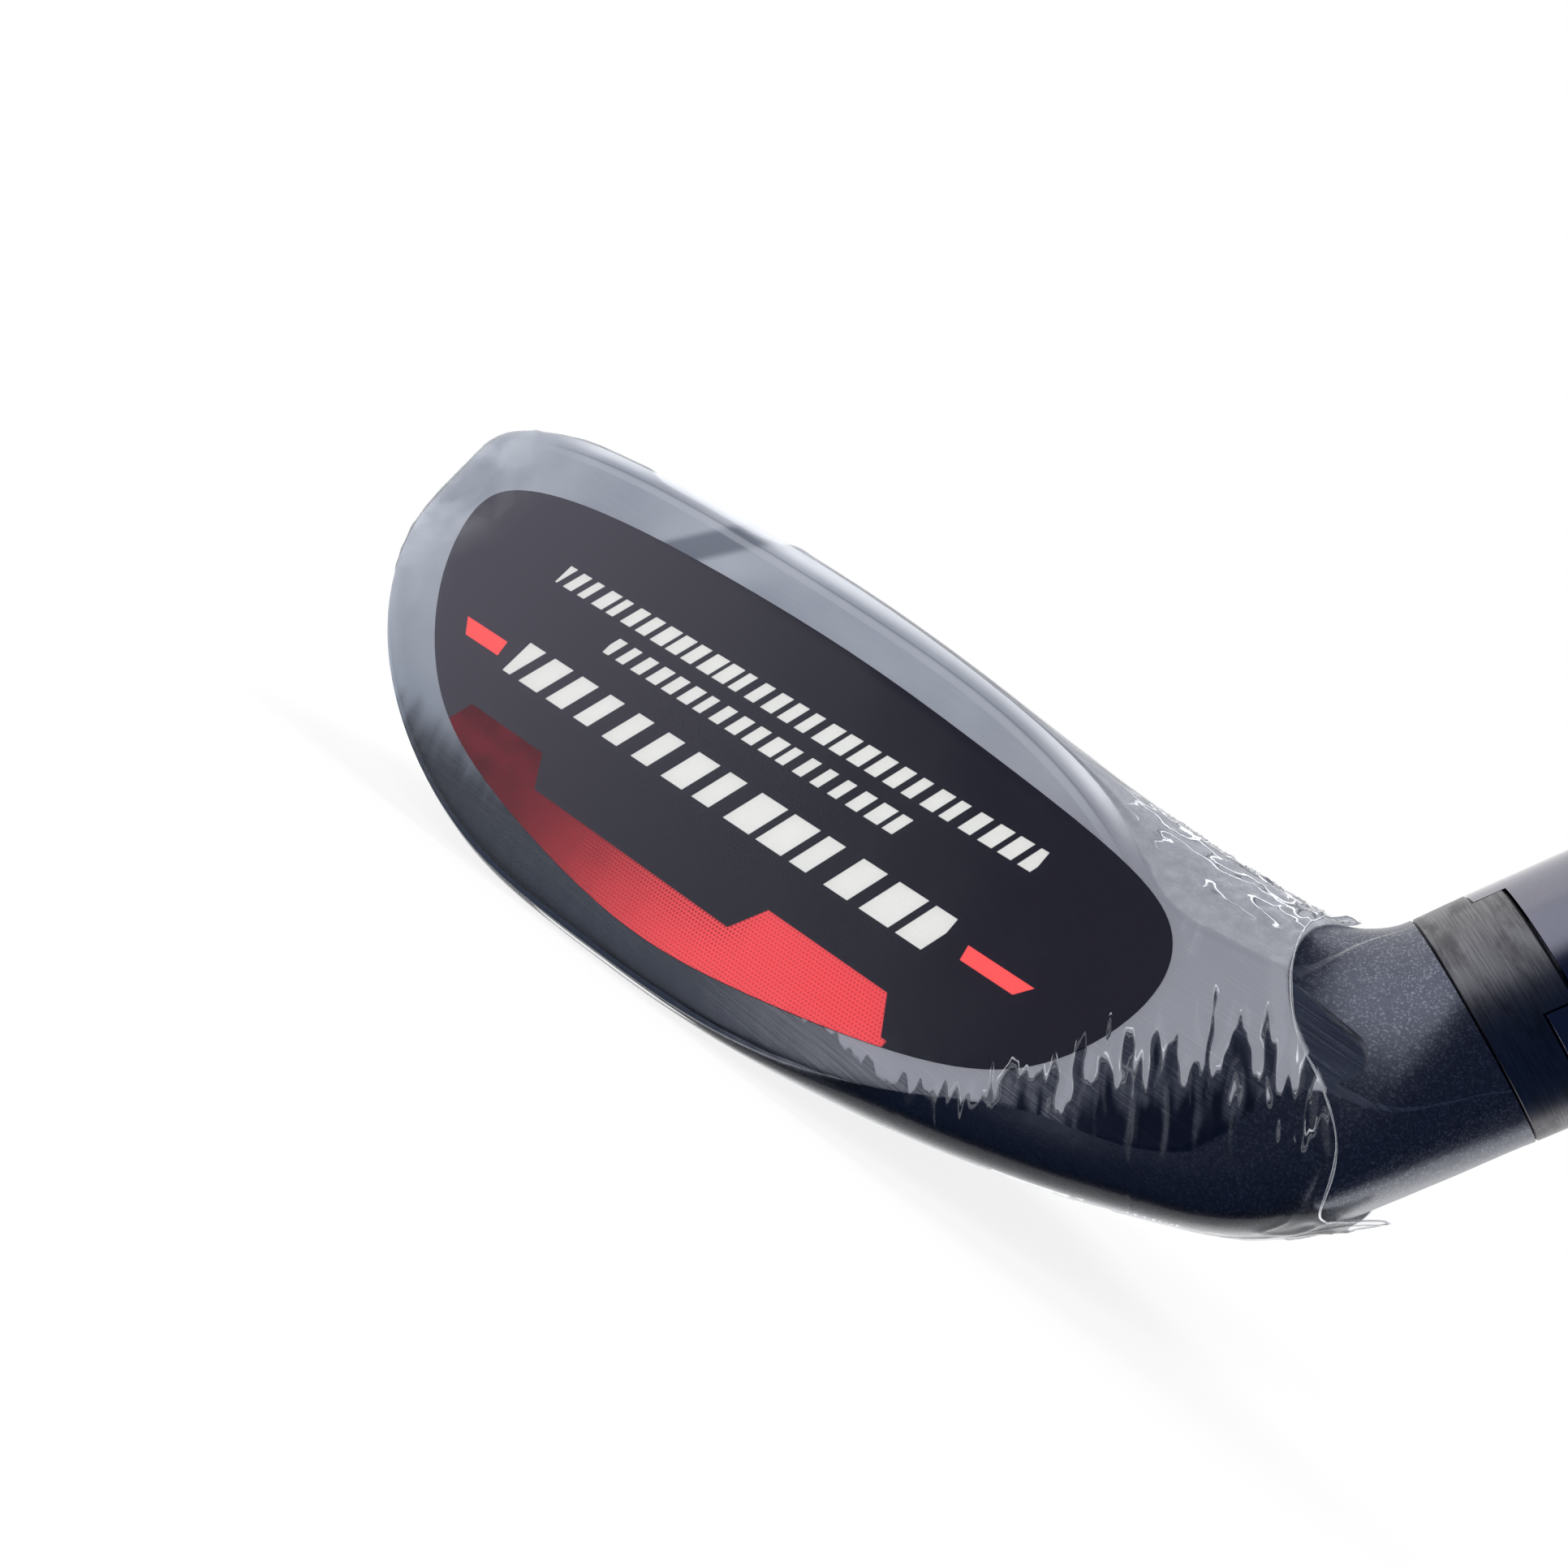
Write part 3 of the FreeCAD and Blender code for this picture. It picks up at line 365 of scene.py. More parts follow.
sky.tree.links.new(background.outputs[0], world_output.inputs[0])
print("bright panel towards", [round(v, 2) for v in PANEL_SIDE])

# %% The floor
FLOOR_REACH = 3.0            # metres from the club to the floor's edge
FLOOR_DROP = 0.02 * MM       # the floor is this far below the sole, so that their faces never coincide
FLOOR_GLOW = 0.86            # near the club the rest of the white is lit, and takes the shadow
SHADOW_REACH = 260.0         # millimetres from the head to where the floor is plain white

corners = [(x * FLOOR_REACH, y * FLOOR_REACH, -FLOOR_DROP) for x, y in ((-1, -1), (1, -1), (1, 1), (-1, 1))]
floor_mesh = bpy.data.meshes.new("floor")
floor_mesh.from_pydata(corners, [], [(0, 1, 2, 3)])
floor = bpy.data.objects.new("floor", floor_mesh)
bpy.context.scene.collection.objects.link(floor)
floor.visible_glossy = False
pale = Finish("pale_floor")
pale.set(base_color=(0.86, 0.86, 0.87), roughness=0.9)
glow = pale.tree.nodes.new("ShaderNodeEmission")
glow.inputs["Color"].default_value = (1.0, 1.0, 1.0, 1.0)
floor_path = pale.tree.nodes.new("ShaderNodeLightPath")
floor_span = pale.node("ShaderNodeVectorMath", {"operation": "LENGTH"}, {0: pale.place()}, output=1)
white_share = FLOOR_GLOW + floor_span.rise(SHADOW_REACH * 0.4, SHADOW_REACH) * (1.0 - FLOOR_GLOW)
camera_ray = Field(pale, floor_path.outputs["Is Camera Ray"])
clear_ray = Field(pale, floor_path.outputs["Is Transmission Ray"])
pale.blend(camera_ray.high(clear_ray) * white_share, pale.shader, glow)
floor.data.materials.append(pale.material)
print("floor", 2 * FLOOR_REACH, "m wide, plain white from", SHADOW_REACH, "mm out")


# %% The lamps
def soft_lamp(name, place, target, size, power):
    """A square lamp that lights the club but isn't seen in its gloss."""
    data = bpy.data.lights.new(name, "AREA")
    data.shape = "SQUARE"
    data.size = size
    data.energy = power
    lamp = bpy.data.objects.new(name, data)
    lamp.location = place
    lamp.rotation_euler = (target - place).to_track_quat("-Z", "Y").to_euler()
    lamp.visible_glossy = False
    lamp.visible_camera = False
    bpy.context.scene.collection.objects.link(lamp)
    print(name, "power", power, "at", [round(v, 2) for v in place])


HEAD_MIDDLE = Vector((0.0, 0.0, 15.0)) * MM
FRONT_LAMP = HEAD_MIDDLE - VIEW_AHEAD * 1.6 + VIEW_UP * 1.2
TOP_LAMP = HEAD_MIDDLE + Vector((0.3, 0.6, 2.2))
soft_lamp("front_lamp", FRONT_LAMP, HEAD_MIDDLE, 1.4, 48.0)
soft_lamp("top_lamp", TOP_LAMP, HEAD_MIDDLE, 1.6, 30.0)

# %% [markdown]
# ## Head metal: milled face and flake paint
#
# The face is milled flat, and its steel keeps the brush's lines from heel to toe. Everything round it
# is sprayed in a dark paint full of coarse silver flake. Both are on the same pieces, so one function
# makes the finish and tells them apart by distance: what lies in the face's plane is bare, and the
# rest is painted. The mill's edge is real geometry, so the line between them is crisp. Under the film
# the steel has two looks. Where the film clings, the steel is dark and wet. Where air got in behind
# the film, the steel is pale and hazy, and that pale colour also paints the bright panel's reflection.
# A ragged line between the two climbs towards the heel. Darker steel low on the face, towards the
# heel and in a slanted band near the top is painted reflection of the dark room.

# %% Where the film ends
FILM_END = 24.2              # the film ends this far up the shaft, on average
CORNER_CLIMB = 6.5           # how much higher it goes in the neck's corner
CORNER_WIDTH = 0.55          # radians round the shaft, as the other widths
HEEL_DROP = 4.0              # how much lower it goes on the heel's side
HEEL_WIDTH = 0.75
NOTCH_TURN = -0.80           # where it dips before the tongue
NOTCH_DROP = 2.6
NOTCH_WIDTH = 0.26


def end_of_film(turn):
    """How far up the shaft the film ends, at a turn round the shaft."""
    corner = (math.pi - turn.size()).bell(0.0, CORNER_WIDTH) * CORNER_CLIMB
    heel = turn.bell(0.0, HEEL_WIDTH) * HEEL_DROP
    return FILM_END + corner - heel - turn.bell(NOTCH_TURN, NOTCH_WIDTH) * NOTCH_DROP


print("film ends from", FILM_END - HEEL_DROP, "to", FILM_END + CORNER_CLIMB, "mm up the shaft")

# %% Where air lies under the film
LEAN_COSINE, LEAN_SINE = 0.87, 0.49      # the film's streaks lean towards the toe by this angle


def streak_frame(across, up):
    """How far over the film's streaks, and how far along them. It takes numbers or fields."""
    return across * LEAN_COSINE + up * LEAN_SINE, up * LEAN_COSINE - across * LEAN_SINE


def air_under_film(finish, across, up):
    """Above 0 where air lies under the film, below 0 where the film clings to the steel."""
    over_streak, along_streak = streak_frame(across, up)
    streaks = finish.noise(finish.pack(over_streak * 1.3, along_streak * 0.24, 0.0), 0.95, 1.0, 0.4)
    cling_edge = 6.0 + across.rise(24.0, 44.0) * 15.0
    reach = 2.0 + across.rise(23.0, 34.0) * 18.0
    return up - cling_edge + (streaks - 0.5) * reach


print("streaks lean", round(math.degrees(math.atan2(LEAN_SINE, LEAN_COSINE))), "degrees to the toe")

# %% [markdown]
# The face's top edge carries three fine lines side by side: a pale bead where the film bridges the
# edge, a thin dark line at its foot that is a painted shadow of the edge's step, and a bright rim that
# is a painted highlight. They follow the edge at a fixed distance, so the shader has to know where the
# edge is. The edge is read from the face's own vertices, and a polynomial through them is short enough
# to write as shader maths.

# %% The face's top edge
EDGE_COLUMN = 2              # millimetres
EDGE_FIRST, EDGE_LAST = -20, 15
EDGE_LEAST_UP = 24.0
EDGE_DEGREE = 4


def face_top_edge():
    """A polynomial in x for how far up the face its top edge lies, in millimetres."""
    highest = {}
    for node in ("face_cup", "head_body"):
        for vertex in nodes[node].data.vertices:
            spot = vertex.co - FACE_FOOT
            up = spot.dot(UP_FACE) / MM
            column = round(vertex.co.x / MM / EDGE_COLUMN)
            in_plane = abs(spot.dot(FACE_OUT)) < 0.03 * MM
            if in_plane and EDGE_FIRST <= column <= EDGE_LAST and up > EDGE_LEAST_UP:
                highest[column] = max(highest.get(column, 0.0), up)
    places = [float(EDGE_COLUMN) * column for column in highest]
    return [float(term) for term in np.polyfit(places, list(highest.values()), EDGE_DEGREE)]


TOP_EDGE = face_top_edge()
print("face's top edge at x = 0", round(TOP_EDGE[-1], 2), "mm up the face")


def below_top_edge(across, up):
    """How far below the top edge a point of the face is."""
    edge_height = across * TOP_EDGE[0]
    for term in TOP_EDGE[1:-1]:
        edge_height = (edge_height + term) * across
    return edge_height + TOP_EDGE[-1] - up


# %% Hazy steel and clinging steel
# Under the film: pale hazy steel that is also a painted reflection of the bright panel, and darker painted
# reflections of the dark room.
PALE_HAZE_AND_REFLECTION = (0.43, 0.455, 0.50)
HAZE_CLOUD = (0.32, 0.345, 0.395)
HEEL_DARK_REFLECTION = (0.30, 0.30, 0.335)
LOW_TOE_DARK_REFLECTION = (0.15, 0.18, 0.23)
BRUSH_GLINT = (0.50, 0.51, 0.54)
DARK_REFLECTION_BAND = (0.10, 0.12, 0.16)
BRIDGE_PALE = (0.52, 0.54, 0.58)
BRIDGE_STEP_SHADOW = (0.14, 0.15, 0.18)
BRIDGE_RIM_HIGHLIGHT = (0.93, 0.94, 0.96)
CLING_DARK = (0.20, 0.205, 0.225)
CLING_GLINT = (0.46, 0.47, 0.50)
CLING_DARK_REFLECTION = (0.030, 0.040, 0.075)
CLING_TOE = (0.032, 0.040, 0.058)


def hazy_reflecting_steel(finish, across, up, lines):
    """Pale steel where air lies under the film, also a painted reflection of the bright panel."""
    clouds = finish.noise(finish.place(), 0.07, 2.0, 0.5)
    # Pale steel: partly haze, partly a painted reflection of the bright panel.
    colour = finish.mix(clouds.rise(0.35, 0.70), PALE_HAZE_AND_REFLECTION, HAZE_CLOUD)
    # Painted reflection: the pale steel darkens towards the heel, where the face mirrors the dark room.
    colour = finish.mix(across.rise(8.0, 30.0) * 0.8, colour, HEEL_DARK_REFLECTION)
    colour = finish.mix(lines.rise(0.5, 0.75) * 0.3, colour, BRUSH_GLINT)
    # Painted reflection: darker low on the toe, where the face mirrors the dark room.
    colour = finish.mix(up.rise(17.0, 6.0) * across.rise(20.0, 0.0) * 0.6, colour, LOW_TOE_DARK_REFLECTION)
    # A painted dark reflection: a slanted band across the top of the face.
    reflection_band = (across + 18.0 - (up - 33.5) * 0.9).within(-2.0, 2.0, 0.7) * up.rise(28.5, 30.5)
    colour = finish.mix(reflection_band * 0.75, colour, DARK_REFLECTION_BAND)
    gap = below_top_edge(across, up)
    along_top = across.within(-37.0, 25.0, 4.0)
    colour = finish.mix(gap.within(1.55, 2.15, 0.08) * along_top * 0.45, colour, BRIDGE_PALE)
    # A painted shadow line where the top edge steps.
    colour = finish.mix(gap.within(1.32, 1.42, 0.10) * along_top * 0.7, colour, BRIDGE_STEP_SHADOW)
    # A painted highlight along the top edge's rim.
    return finish.mix(gap.rise(1.25, 0.05) * along_top * 0.9, colour, BRIDGE_RIM_HIGHLIGHT)


def clinging_steel(finish, across, air, lines):
    """Dark wet steel where the film clings, deepening to a painted navy reflection of the dark room further
    from the border.
    """
    colour = finish.mix(lines.rise(0.30, 0.72), CLING_DARK, CLING_GLINT)
    # Painted reflection: deeper navy further below the border, where the steel mirrors the dark room.
    colour = finish.mix(air.rise(-1.0, -6.0) * 0.95, colour, CLING_DARK_REFLECTION)
    return finish.mix(across.rise(26.0, 6.0) * 0.85, colour, CLING_TOE)


print("steel goes from", PALE_HAZE_AND_REFLECTION, "over air to", CLING_DARK_REFLECTION, "where the film clings")

# %% Flake paint
FLAKE_PITCH = 0.10           # millimetres between flakes
PAINT_DARK = (0.110, 0.118, 0.150)
PAINT_PALE = (0.160, 0.168, 0.205)
FLAKE_SILVER = (0.30, 0.31, 0.36)
SANDY_REFLECTION_DARK = (0.38, 0.39, 0.42)
SANDY_REFLECTION_PALE = (0.44, 0.45, 0.48)
RIM_SHADE = (0.10, 0.11, 0.13)


def flake_paint(finish, across, up, out, topline, flake):
    """Dark paint with silver flake. Along the top under the film it is grainy and pale, a painted reflection
    of the white backdrop, with a painted shadow line at the face's rim.
    """
    mist = finish.noise(finish.place(), 1.1, 3.0, 0.6)
    colour = finish.mix(mist, PAINT_DARK, PAINT_PALE)
    colour = finish.mix(flake, colour, FLAKE_SILVER)
    # The sand-grain paint along the top is made pale: a painted reflection of the white backdrop.
    sandy_reflection = finish.mix(mist.rise(0.35, 0.65), SANDY_REFLECTION_DARK, SANDY_REFLECTION_PALE)
    colour = finish.mix(topline * 0.85, colour, sandy_reflection)
    # A painted shadow line just off the face's rim.
    rim_line = out.within(-0.34, -0.10, 0.06) * up.rise(24.0, 26.0) * across.rise(30.0, 16.0)
    return finish.mix(rim_line * 0.75, colour, RIM_SHADE)


print("flakes", FLAKE_PITCH, "mm apart in the paint")

# %% Head metal: steel and paint together
def head_metal(name):
    finish = Finish(name)
    across = finish.along(Vector((1.0, 0.0, 0.0)))
    up = finish.along(UP_FACE, FACE_FOOT)
    out = finish.along(FACE_OUT, FACE_FOOT)
    height, turn = finish.shaft_frame()
    face = out.size().rise(0.06, 0.03)
    slant = up + across * 0.05
    lines = finish.noise(finish.pack(across * 0.022, slant, out * 0.3), 7.5, 4.0, 0.62)
    fine = finish.noise(finish.pack(across * 0.05, slant, out * 0.3), 26.0, 2.0, 0.6)
    air = air_under_film(finish, across, up)
    under_film = (end_of_film(turn) + 0.2 - height).rise(-0.1, 0.2)
    at_toe = across.rise(-6.0, -18.0)
    lifted = (air.rise(-0.12, 0.12) * (1.0 - at_toe) + air.rise(-1.5, 3.0) * at_toe) * under_film
    clinging = clinging_steel(finish, across, air, lines)
    steel = finish.mix(lifted, clinging, hazy_reflecting_steel(finish, across, up, lines))
    flake = finish.flakes(1.0 / FLAKE_PITCH).rise(0.62, 1.0) * (height.rise(9.0, 20.0) * 0.8 + 0.08)
    topline = up.rise(23.0, 27.0) * under_film * out.rise(-9.0, -5.0)
    paint = flake_paint(finish, across, up, out, topline, flake)
    relief = (lines * 0.7 + fine * 0.3) * face * (1.0 - lifted * 0.7) + flake * (1.0 - face) * 0.8
    finish.set(
        base_color=finish.mix(face, paint, steel),
        metallic=0.98 - face * lifted * 0.48 - topline * (1.0 - face) * 0.6,
        roughness=0.28 - face * (0.02 - lifted * 0.12) + (lines - 0.5) * 0.10,
        normal=finish.bump(relief, 0.010, 0.55),
    )
    return finish


give(head_metal("painted_head"), "head_body")
give(head_metal("milled_face"), "face_cup")

# %% [markdown]
# ## Crown plate
#
# The plate let into the crown is moulded composite under clear lacquer. Its weave shows only as a
# change of shade between the crossing tows, so the finish is a checker of two near blacks under a coat.

# %% Crown plate
crown = Finish("crown_composite")
TOW = 1.9                    # millimetres across one tow
along_x = crown.along(Vector((0.7071, 0.7071, 0.0))) / TOW
along_y = crown.along(Vector((-0.7071, 0.7071, 0.0))) / TOW
over = ((along_x.whole() + along_y.whole()) * 0.5).fraction().rise(0.2, 0.3)
ridge_x = (along_x.fraction() - 0.5).size()
ridge_y = (along_y.fraction() - 0.5).size()
tow = over * ridge_x + (1.0 - over) * ridge_y
crown.set(
    base_color=crown.mix(over * 0.8 + tow * 0.4, (0.010, 0.010, 0.012), (0.034, 0.035, 0.040)),
    roughness=0.34 + over * 0.12,
    coat_weight=1.0,
    coat_roughness=0.04,
    normal=crown.bump(0.5 - tow, 0.03, 0.35),
)
give(crown, "crown_plate")

# %% [markdown]
# ## Face sticker
#
# A matt charcoal sticker protects the face in the shop. It has a stepped red band along its lower
# edge, printed with fine dots, two red dashes, and rows of pale print. The rows here are plain slanted
# bars. The print is ink on the sticker, not relief, so it is drawn as shapes in the sticker's own
# two directions: millimetres towards the heel, and millimetres up the face.

# %% Sticker colours and shapes
sticker = Finish("face_sticker")
sx = sticker.along(Vector((1.0, 0.0, 0.0)))
su = sticker.along(UP_FACE, FACE_FOOT)
CHARCOAL = (0.0105, 0.0100, 0.0165)
CHARCOAL_SHEEN = (0.062, 0.056, 0.073)
PRINT_WHITE = (0.60, 0.60, 0.58)
RED = (0.62, 0.060, 0.070)
RED_DARK = (0.055, 0.005, 0.009)
DASH_RED = (0.80, 0.085, 0.085)
INK_EDGE = 0.035             # millimetres of softness at a printed edge
print("print", PRINT_WHITE, "on charcoal", CHARCOAL)


def bar_row(low, high, toe, heel, pitch, duty, seed):
    """A row of slanted bars of uneven width."""
    slanted = (sx - su * 0.32) / pitch
    number = slanted.whole()
    chance = sticker.node("ShaderNodeTexWhiteNoise", {"noise_dimensions": "1D"}, {"W": number + seed})
    width = duty + (chance - 0.5) * 0.34
    soft = INK_EDGE / pitch
    part = slanted.fraction()
    bar = (part - 0.06).rise(-soft, soft) * (width + 0.06 - part).rise(-soft, soft)
    return bar * su.within(low, high, INK_EDGE) * sx.within(toe, heel, INK_EDGE)


def dash(toe, heel, low, high, lean_toe, lean_heel):
    """A short bar whose two ends lean by their own amounts."""
    height = (su - low) / (high - low)
    start = sx - toe - height * lean_toe
    end = heel + height * lean_heel - sx
    return start.rise(-INK_EDGE, INK_EDGE) * end.rise(-INK_EDGE, INK_EDGE) * su.within(low, high, INK_EDGE)


# %% The red band
STEP_LOW = 7.75              # the band's top, and the top of its two steps, up the face
STEP_HIGH = 10.5
CUT_EDGE = 0.05
BAND_TOE, BAND_HEEL = -24.2, 22.6
DOT_PITCH = 0.30


def toewards(edge):
    """1 on the toe's side of an edge that leans across the face, and 0 on the heel's side."""
    return (edge - sx).rise(-CUT_EDGE, CUT_EDGE)


def heelwards(edge):
    return (sx - edge).rise(-CUT_EDGE, CUT_EDGE)


step_toe = heelwards((su - 8.2) * 0.3 - 23.9) * toewards(-12.7 - (su - STEP_LOW) * 0.7)
step_heel = heelwards((su - STEP_LOW) * 0.55 + 8.0) * toewards(BAND_HEEL - (su - 7.0) * 0.62)
lower = su.rise(STEP_LOW + INK_EDGE, STEP_LOW - INK_EDGE) * sx.within(BAND_TOE, BAND_HEEL, 0.1)
upper = su.rise(STEP_HIGH + INK_EDGE, STEP_HIGH - INK_EDGE) * step_toe.high(step_heel)
band = lower.high(upper)
row_number = (su / DOT_PITCH).whole()
dot_x = ((sx / DOT_PITCH) + row_number * 0.5).fraction() - 0.5
dot_y = (su / DOT_PITCH).fraction() - 0.5
dots = (dot_x * dot_x + dot_y * dot_y).rise(0.13, 0.05)
# Painted sheen: the band's red goes from RED_DARK, a painted shade at the toe, to bright RED towards the
# heel.
red_sheen = sx.rise(-16.0, 9.0)
rim_fade = su.rise(STEP_LOW - 3.2, STEP_LOW + 0.4) * sx.within(-12.0, 9.0, 1.5)
ink = sticker.mix(red_sheen, RED_DARK, RED)
ink = sticker.mix(dots * (0.42 + rim_fade * 0.4), ink, (0.14, 0.006, 0.012))
mottle = sticker.noise(sticker.place(), 0.35, 3.0, 0.6)
ink = sticker.mix(mottle.rise(0.35, 0.75) * (1.0 - red_sheen) * 0.5, ink, (0.16, 0.012, 0.022))
print("red band up to", STEP_LOW, "and", STEP_HIGH, "mm up the face")

# %% The pale rows, the dashes and the sticker's own stuff
white = bar_row(14.35, 17.65, -23.6, 20.9, 3.3, 0.66, 3.0)
white = white.high(bar_row(20.35, 22.15, -17.6, 13.4, 1.75, 0.62, 41.0))
white = white.high(bar_row(23.45, 25.45, -26.6, 22.9, 1.75, 0.62, 87.0))
red_dash = dash(-29.2, -25.1, 15.15, 16.6, -1.3, -0.3).high(dash(22.9, 27.3, 15.3, 16.5, -0.2, 0.9))

speck = sticker.noise(sticker.place(), 9.0, 2.0, 0.7)
# Painted sheen: the charcoal grows paler towards the toe, with a little random speck.
base = sticker.mix(speck.rise(0.4, 0.7) * 0.05 + sx.rise(12.0, -44.0) * 0.75, CHARCOAL, CHARCOAL_SHEEN)
base = sticker.mix(band, base, ink)
base = sticker.mix(red_dash, base, DASH_RED)
base = sticker.mix(white, base, sticker.mix(speck, (0.50, 0.50, 0.48), PRINT_WHITE))
sticker.set(
    base_color=base,
    roughness=0.60 - white * 0.05 + band * dots * 0.06,
    specular_ior_level=0.2,
    normal=sticker.bump(speck + (white + red_dash) * 2.0, 0.0008, 0.3),
)
give(sticker, "face_sticker")

# %% [markdown]
# ## Hosel ring and sleeve
#
# The ring is bare aluminium, brushed round its turn, and handling has left dull smudges on it. The
# sleeve above it is black chrome. Such a piece has almost no colour of its own, so its finish is a
# dark metal that mirrors the room in violet grey, with fine dust in the roughness.

# %% Hosel ring and sleeve
ring_finish = Finish("brushed_ring")
height, turn = ring_finish.shaft_frame()
brush = ring_finish.noise(ring_finish.pack(height * 1.0, turn * 0.25, 0.0), 9.0, 4.0, 0.65)
smudge = ring_finish.noise(ring_finish.pack(height * 0.5, turn * 1.6, 3.0), 1.3, 4.0, 0.62)
ring_colour = ring_finish.mix(brush.rise(0.3, 0.7), (0.150, 0.147, 0.155), (0.265, 0.260, 0.275))
ring_colour = ring_finish.mix(smudge.rise(0.48, 0.66) * 0.6, ring_colour, (0.075, 0.073, 0.078))
ring_finish.set(
    base_color=ring_colour,
    metallic=1.0,
    roughness=0.24 + smudge * 0.2,
    normal=ring_finish.bump(brush * 0.6 + smudge * 0.4, 0.02, 0.5),
)
give(ring_finish, "lie_ring")

sleeve_finish = Finish("gloss_sleeve")
dust = sleeve_finish.noise(sleeve_finish.place(), 2.2, 4.0, 0.7)
sleeve_finish.set(
    base_color=sleeve_finish.mix(dust, (0.20, 0.20, 0.25), (0.25, 0.245, 0.295)),
    metallic=1.0,
    roughness=0.13 + dust * 0.07,
    coat_weight=0.6,
    coat_roughness=0.04,
    normal=sleeve_finish.bump(dust, 0.004, 0.4),
)
give(sleeve_finish, "shaft_sleeve")

# %% [markdown]
# ## Screw, washer and inner metal
#
# The hosel screw and its washer are turned steel, blued black on the screw. Turning leaves rings round
# the axis, so the grain follows the distance from the axis and not the place in space. The weights
# and the insert are plain machined metal in the same way.


# %% Turned metal
def turned_metal(name, dark, light, rough, axis=AXIS, origin=GROUND_POINT):
    """Metal with fine rings round an axis through the origin."""
    finish = Finish(name)
    height = finish.along(axis, origin)
    inputs = {0: finish.place(), 1: tuple(origin / MM)}
    offset = finish.node("ShaderNodeVectorMath", {"operation": "SUBTRACT"}, inputs)
    reach = finish.node("ShaderNodeVectorMath", {"operation": "LENGTH"}, {0: offset}, output=1)
    radius = (reach * reach - height * height).high(0.0) ** 0.5
    grain = finish.noise(finish.pack(radius, height, 0.0), 8.0, 3.0, 0.6)
    stain = finish.noise(finish.place(), 0.5, 3.0, 0.6)
    finish.set(
        base_color=finish.mix(grain * 0.7 + stain * 0.3, dark, light),
        metallic=1.0,
        roughness=rough + (stain - 0.5) * 0.2,
        normal=finish.bump(grain, 0.01, 0.5),
    )
    return finish


give(turned_metal("blued_screw", (0.07, 0.07, 0.075), (0.17, 0.17, 0.18), 0.34), "hosel_screw")
give(turned_metal("washer_steel", (0.42, 0.42, 0.43), (0.60, 0.60, 0.61), 0.28), "screw_washer")
give(turned_metal("spring_clip_steel", (0.34, 0.34, 0.36), (0.52, 0.52, 0.54), 0.30), "screw_clip")
give(turned_metal("insert_brass", (0.50, 0.36, 0.14), (0.68, 0.52, 0.24), 0.30), "thread_insert")
weight_low, weight_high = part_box("swing_weight")
weight_middle = (weight_low + weight_high) / 2
weight_axis = Vector((0.0, 0.0, 1.0))
swing_dark, swing_light = (0.13, 0.13, 0.14), (0.27, 0.27, 0.28)
swing_steel = turned_metal("swing_weight_steel", swing_dark, swing_light, 0.36, weight_axis, weight_middle)
give(swing_steel, "swing_weight")
give(turned_metal("tungsten_weight", (0.22, 0.22, 0.21), (0.34, 0.33, 0.32), 0.5), "inner_weight")
print("swing weight", [round(v / MM, 2) for v in weight_middle])

# %% [markdown]
# ## Ferrule, shaft and printed band
#
# The ferrule is moulded plastic, turned smooth, with two satin trim rings near its top. The shaft is
# wound graphite, ground and painted: a near black satin with a faint spiral of its windings. Below the
# grip it carries a printed band, here only slanted grey stripes between two red rings.

# %% Ferrule
FERRULE_TOP = 74.0           # millimetres up the shaft

ferrule_finish = Finish("ferrule_plastic")
height, turn = ferrule_finish.shaft_frame()
trim = height.within(FERRULE_TOP - 7.2, FERRULE_TOP - 5.8, 0.05)
trim = trim.high(height.within(FERRULE_TOP - 4.4, FERRULE_TOP - 3.9, 0.05))
lathe = ferrule_finish.noise(ferrule_finish.pack(height, turn * 0.1, 0.0), 7.0, 2.0, 0.5)
ferrule_finish.set(
    base_color=ferrule_finish.mix(trim, (0.011, 0.011, 0.013), (0.52, 0.53, 0.55)),
    metallic=trim * 0.8,
    roughness=0.24 + lathe * 0.10 + trim * 0.08,
    coat_weight=0.4,
    normal=ferrule_finish.bump(lathe + trim * 2.0, 0.01, 0.4),
)
give(ferrule_finish, "ferrule")

# %% Shaft and printed band
BAND_LOW = 659.0             # millimetres up the shaft
BAND_HIGH = 705.0
WINDING_PITCH = 5.2


def graphite(name, printed):
    """Wound and painted graphite, with the printed band's slashes and edges where it is asked for."""
    finish = Finish(name)
    height, turn = finish.shaft_frame()
    winding = (height / WINDING_PITCH + turn / (2 * math.pi)).fraction() - 0.5
    ridge = winding.size().rise(0.42, 0.5)
    grain = finish.noise(finish.pack(height * 0.15, turn * 6.0, 0.0), 1.4, 4.0, 0.6)
    colour = finish.mix(grain, (0.016, 0.017, 0.021), (0.034, 0.035, 0.042))
    colour = finish.mix(finish.flakes(2.4).rise(0.8, 1.0) * 0.25, colour, (0.20, 0.20, 0.23))
    stripes = height.within(112.0, 113.4, 0.06).high(height.within(115.2, 115.8, 0.06))
    colour = finish.mix(stripes, colour, (0.60, 0.61, 0.62))
    if printed:
        twist = (height * 0.16 + turn / math.pi * 1.5).fraction()
        slash = twist.within(0.10, 0.52, 0.02) * height.within(BAND_LOW + 9.0, BAND_HIGH - 9.0, 0.1)
        edge = height.within(BAND_LOW + 2.0, BAND_LOW + 4.5, 0.06)
        edge = edge.high(height.within(BAND_HIGH - 4.5, BAND_HIGH - 2.0, 0.06))
        colour = finish.mix(slash, colour, (0.36, 0.37, 0.39))
        colour = finish.mix(edge, colour, (0.62, 0.05, 0.055))
    finish.set(
        base_color=colour,
        roughness=0.30 + grain * 0.12,
        coat_weight=0.6,
        coat_roughness=0.08,
        normal=finish.bump(ridge * 0.5 + grain * 0.3, 0.012, 0.35),
    )
    return finish


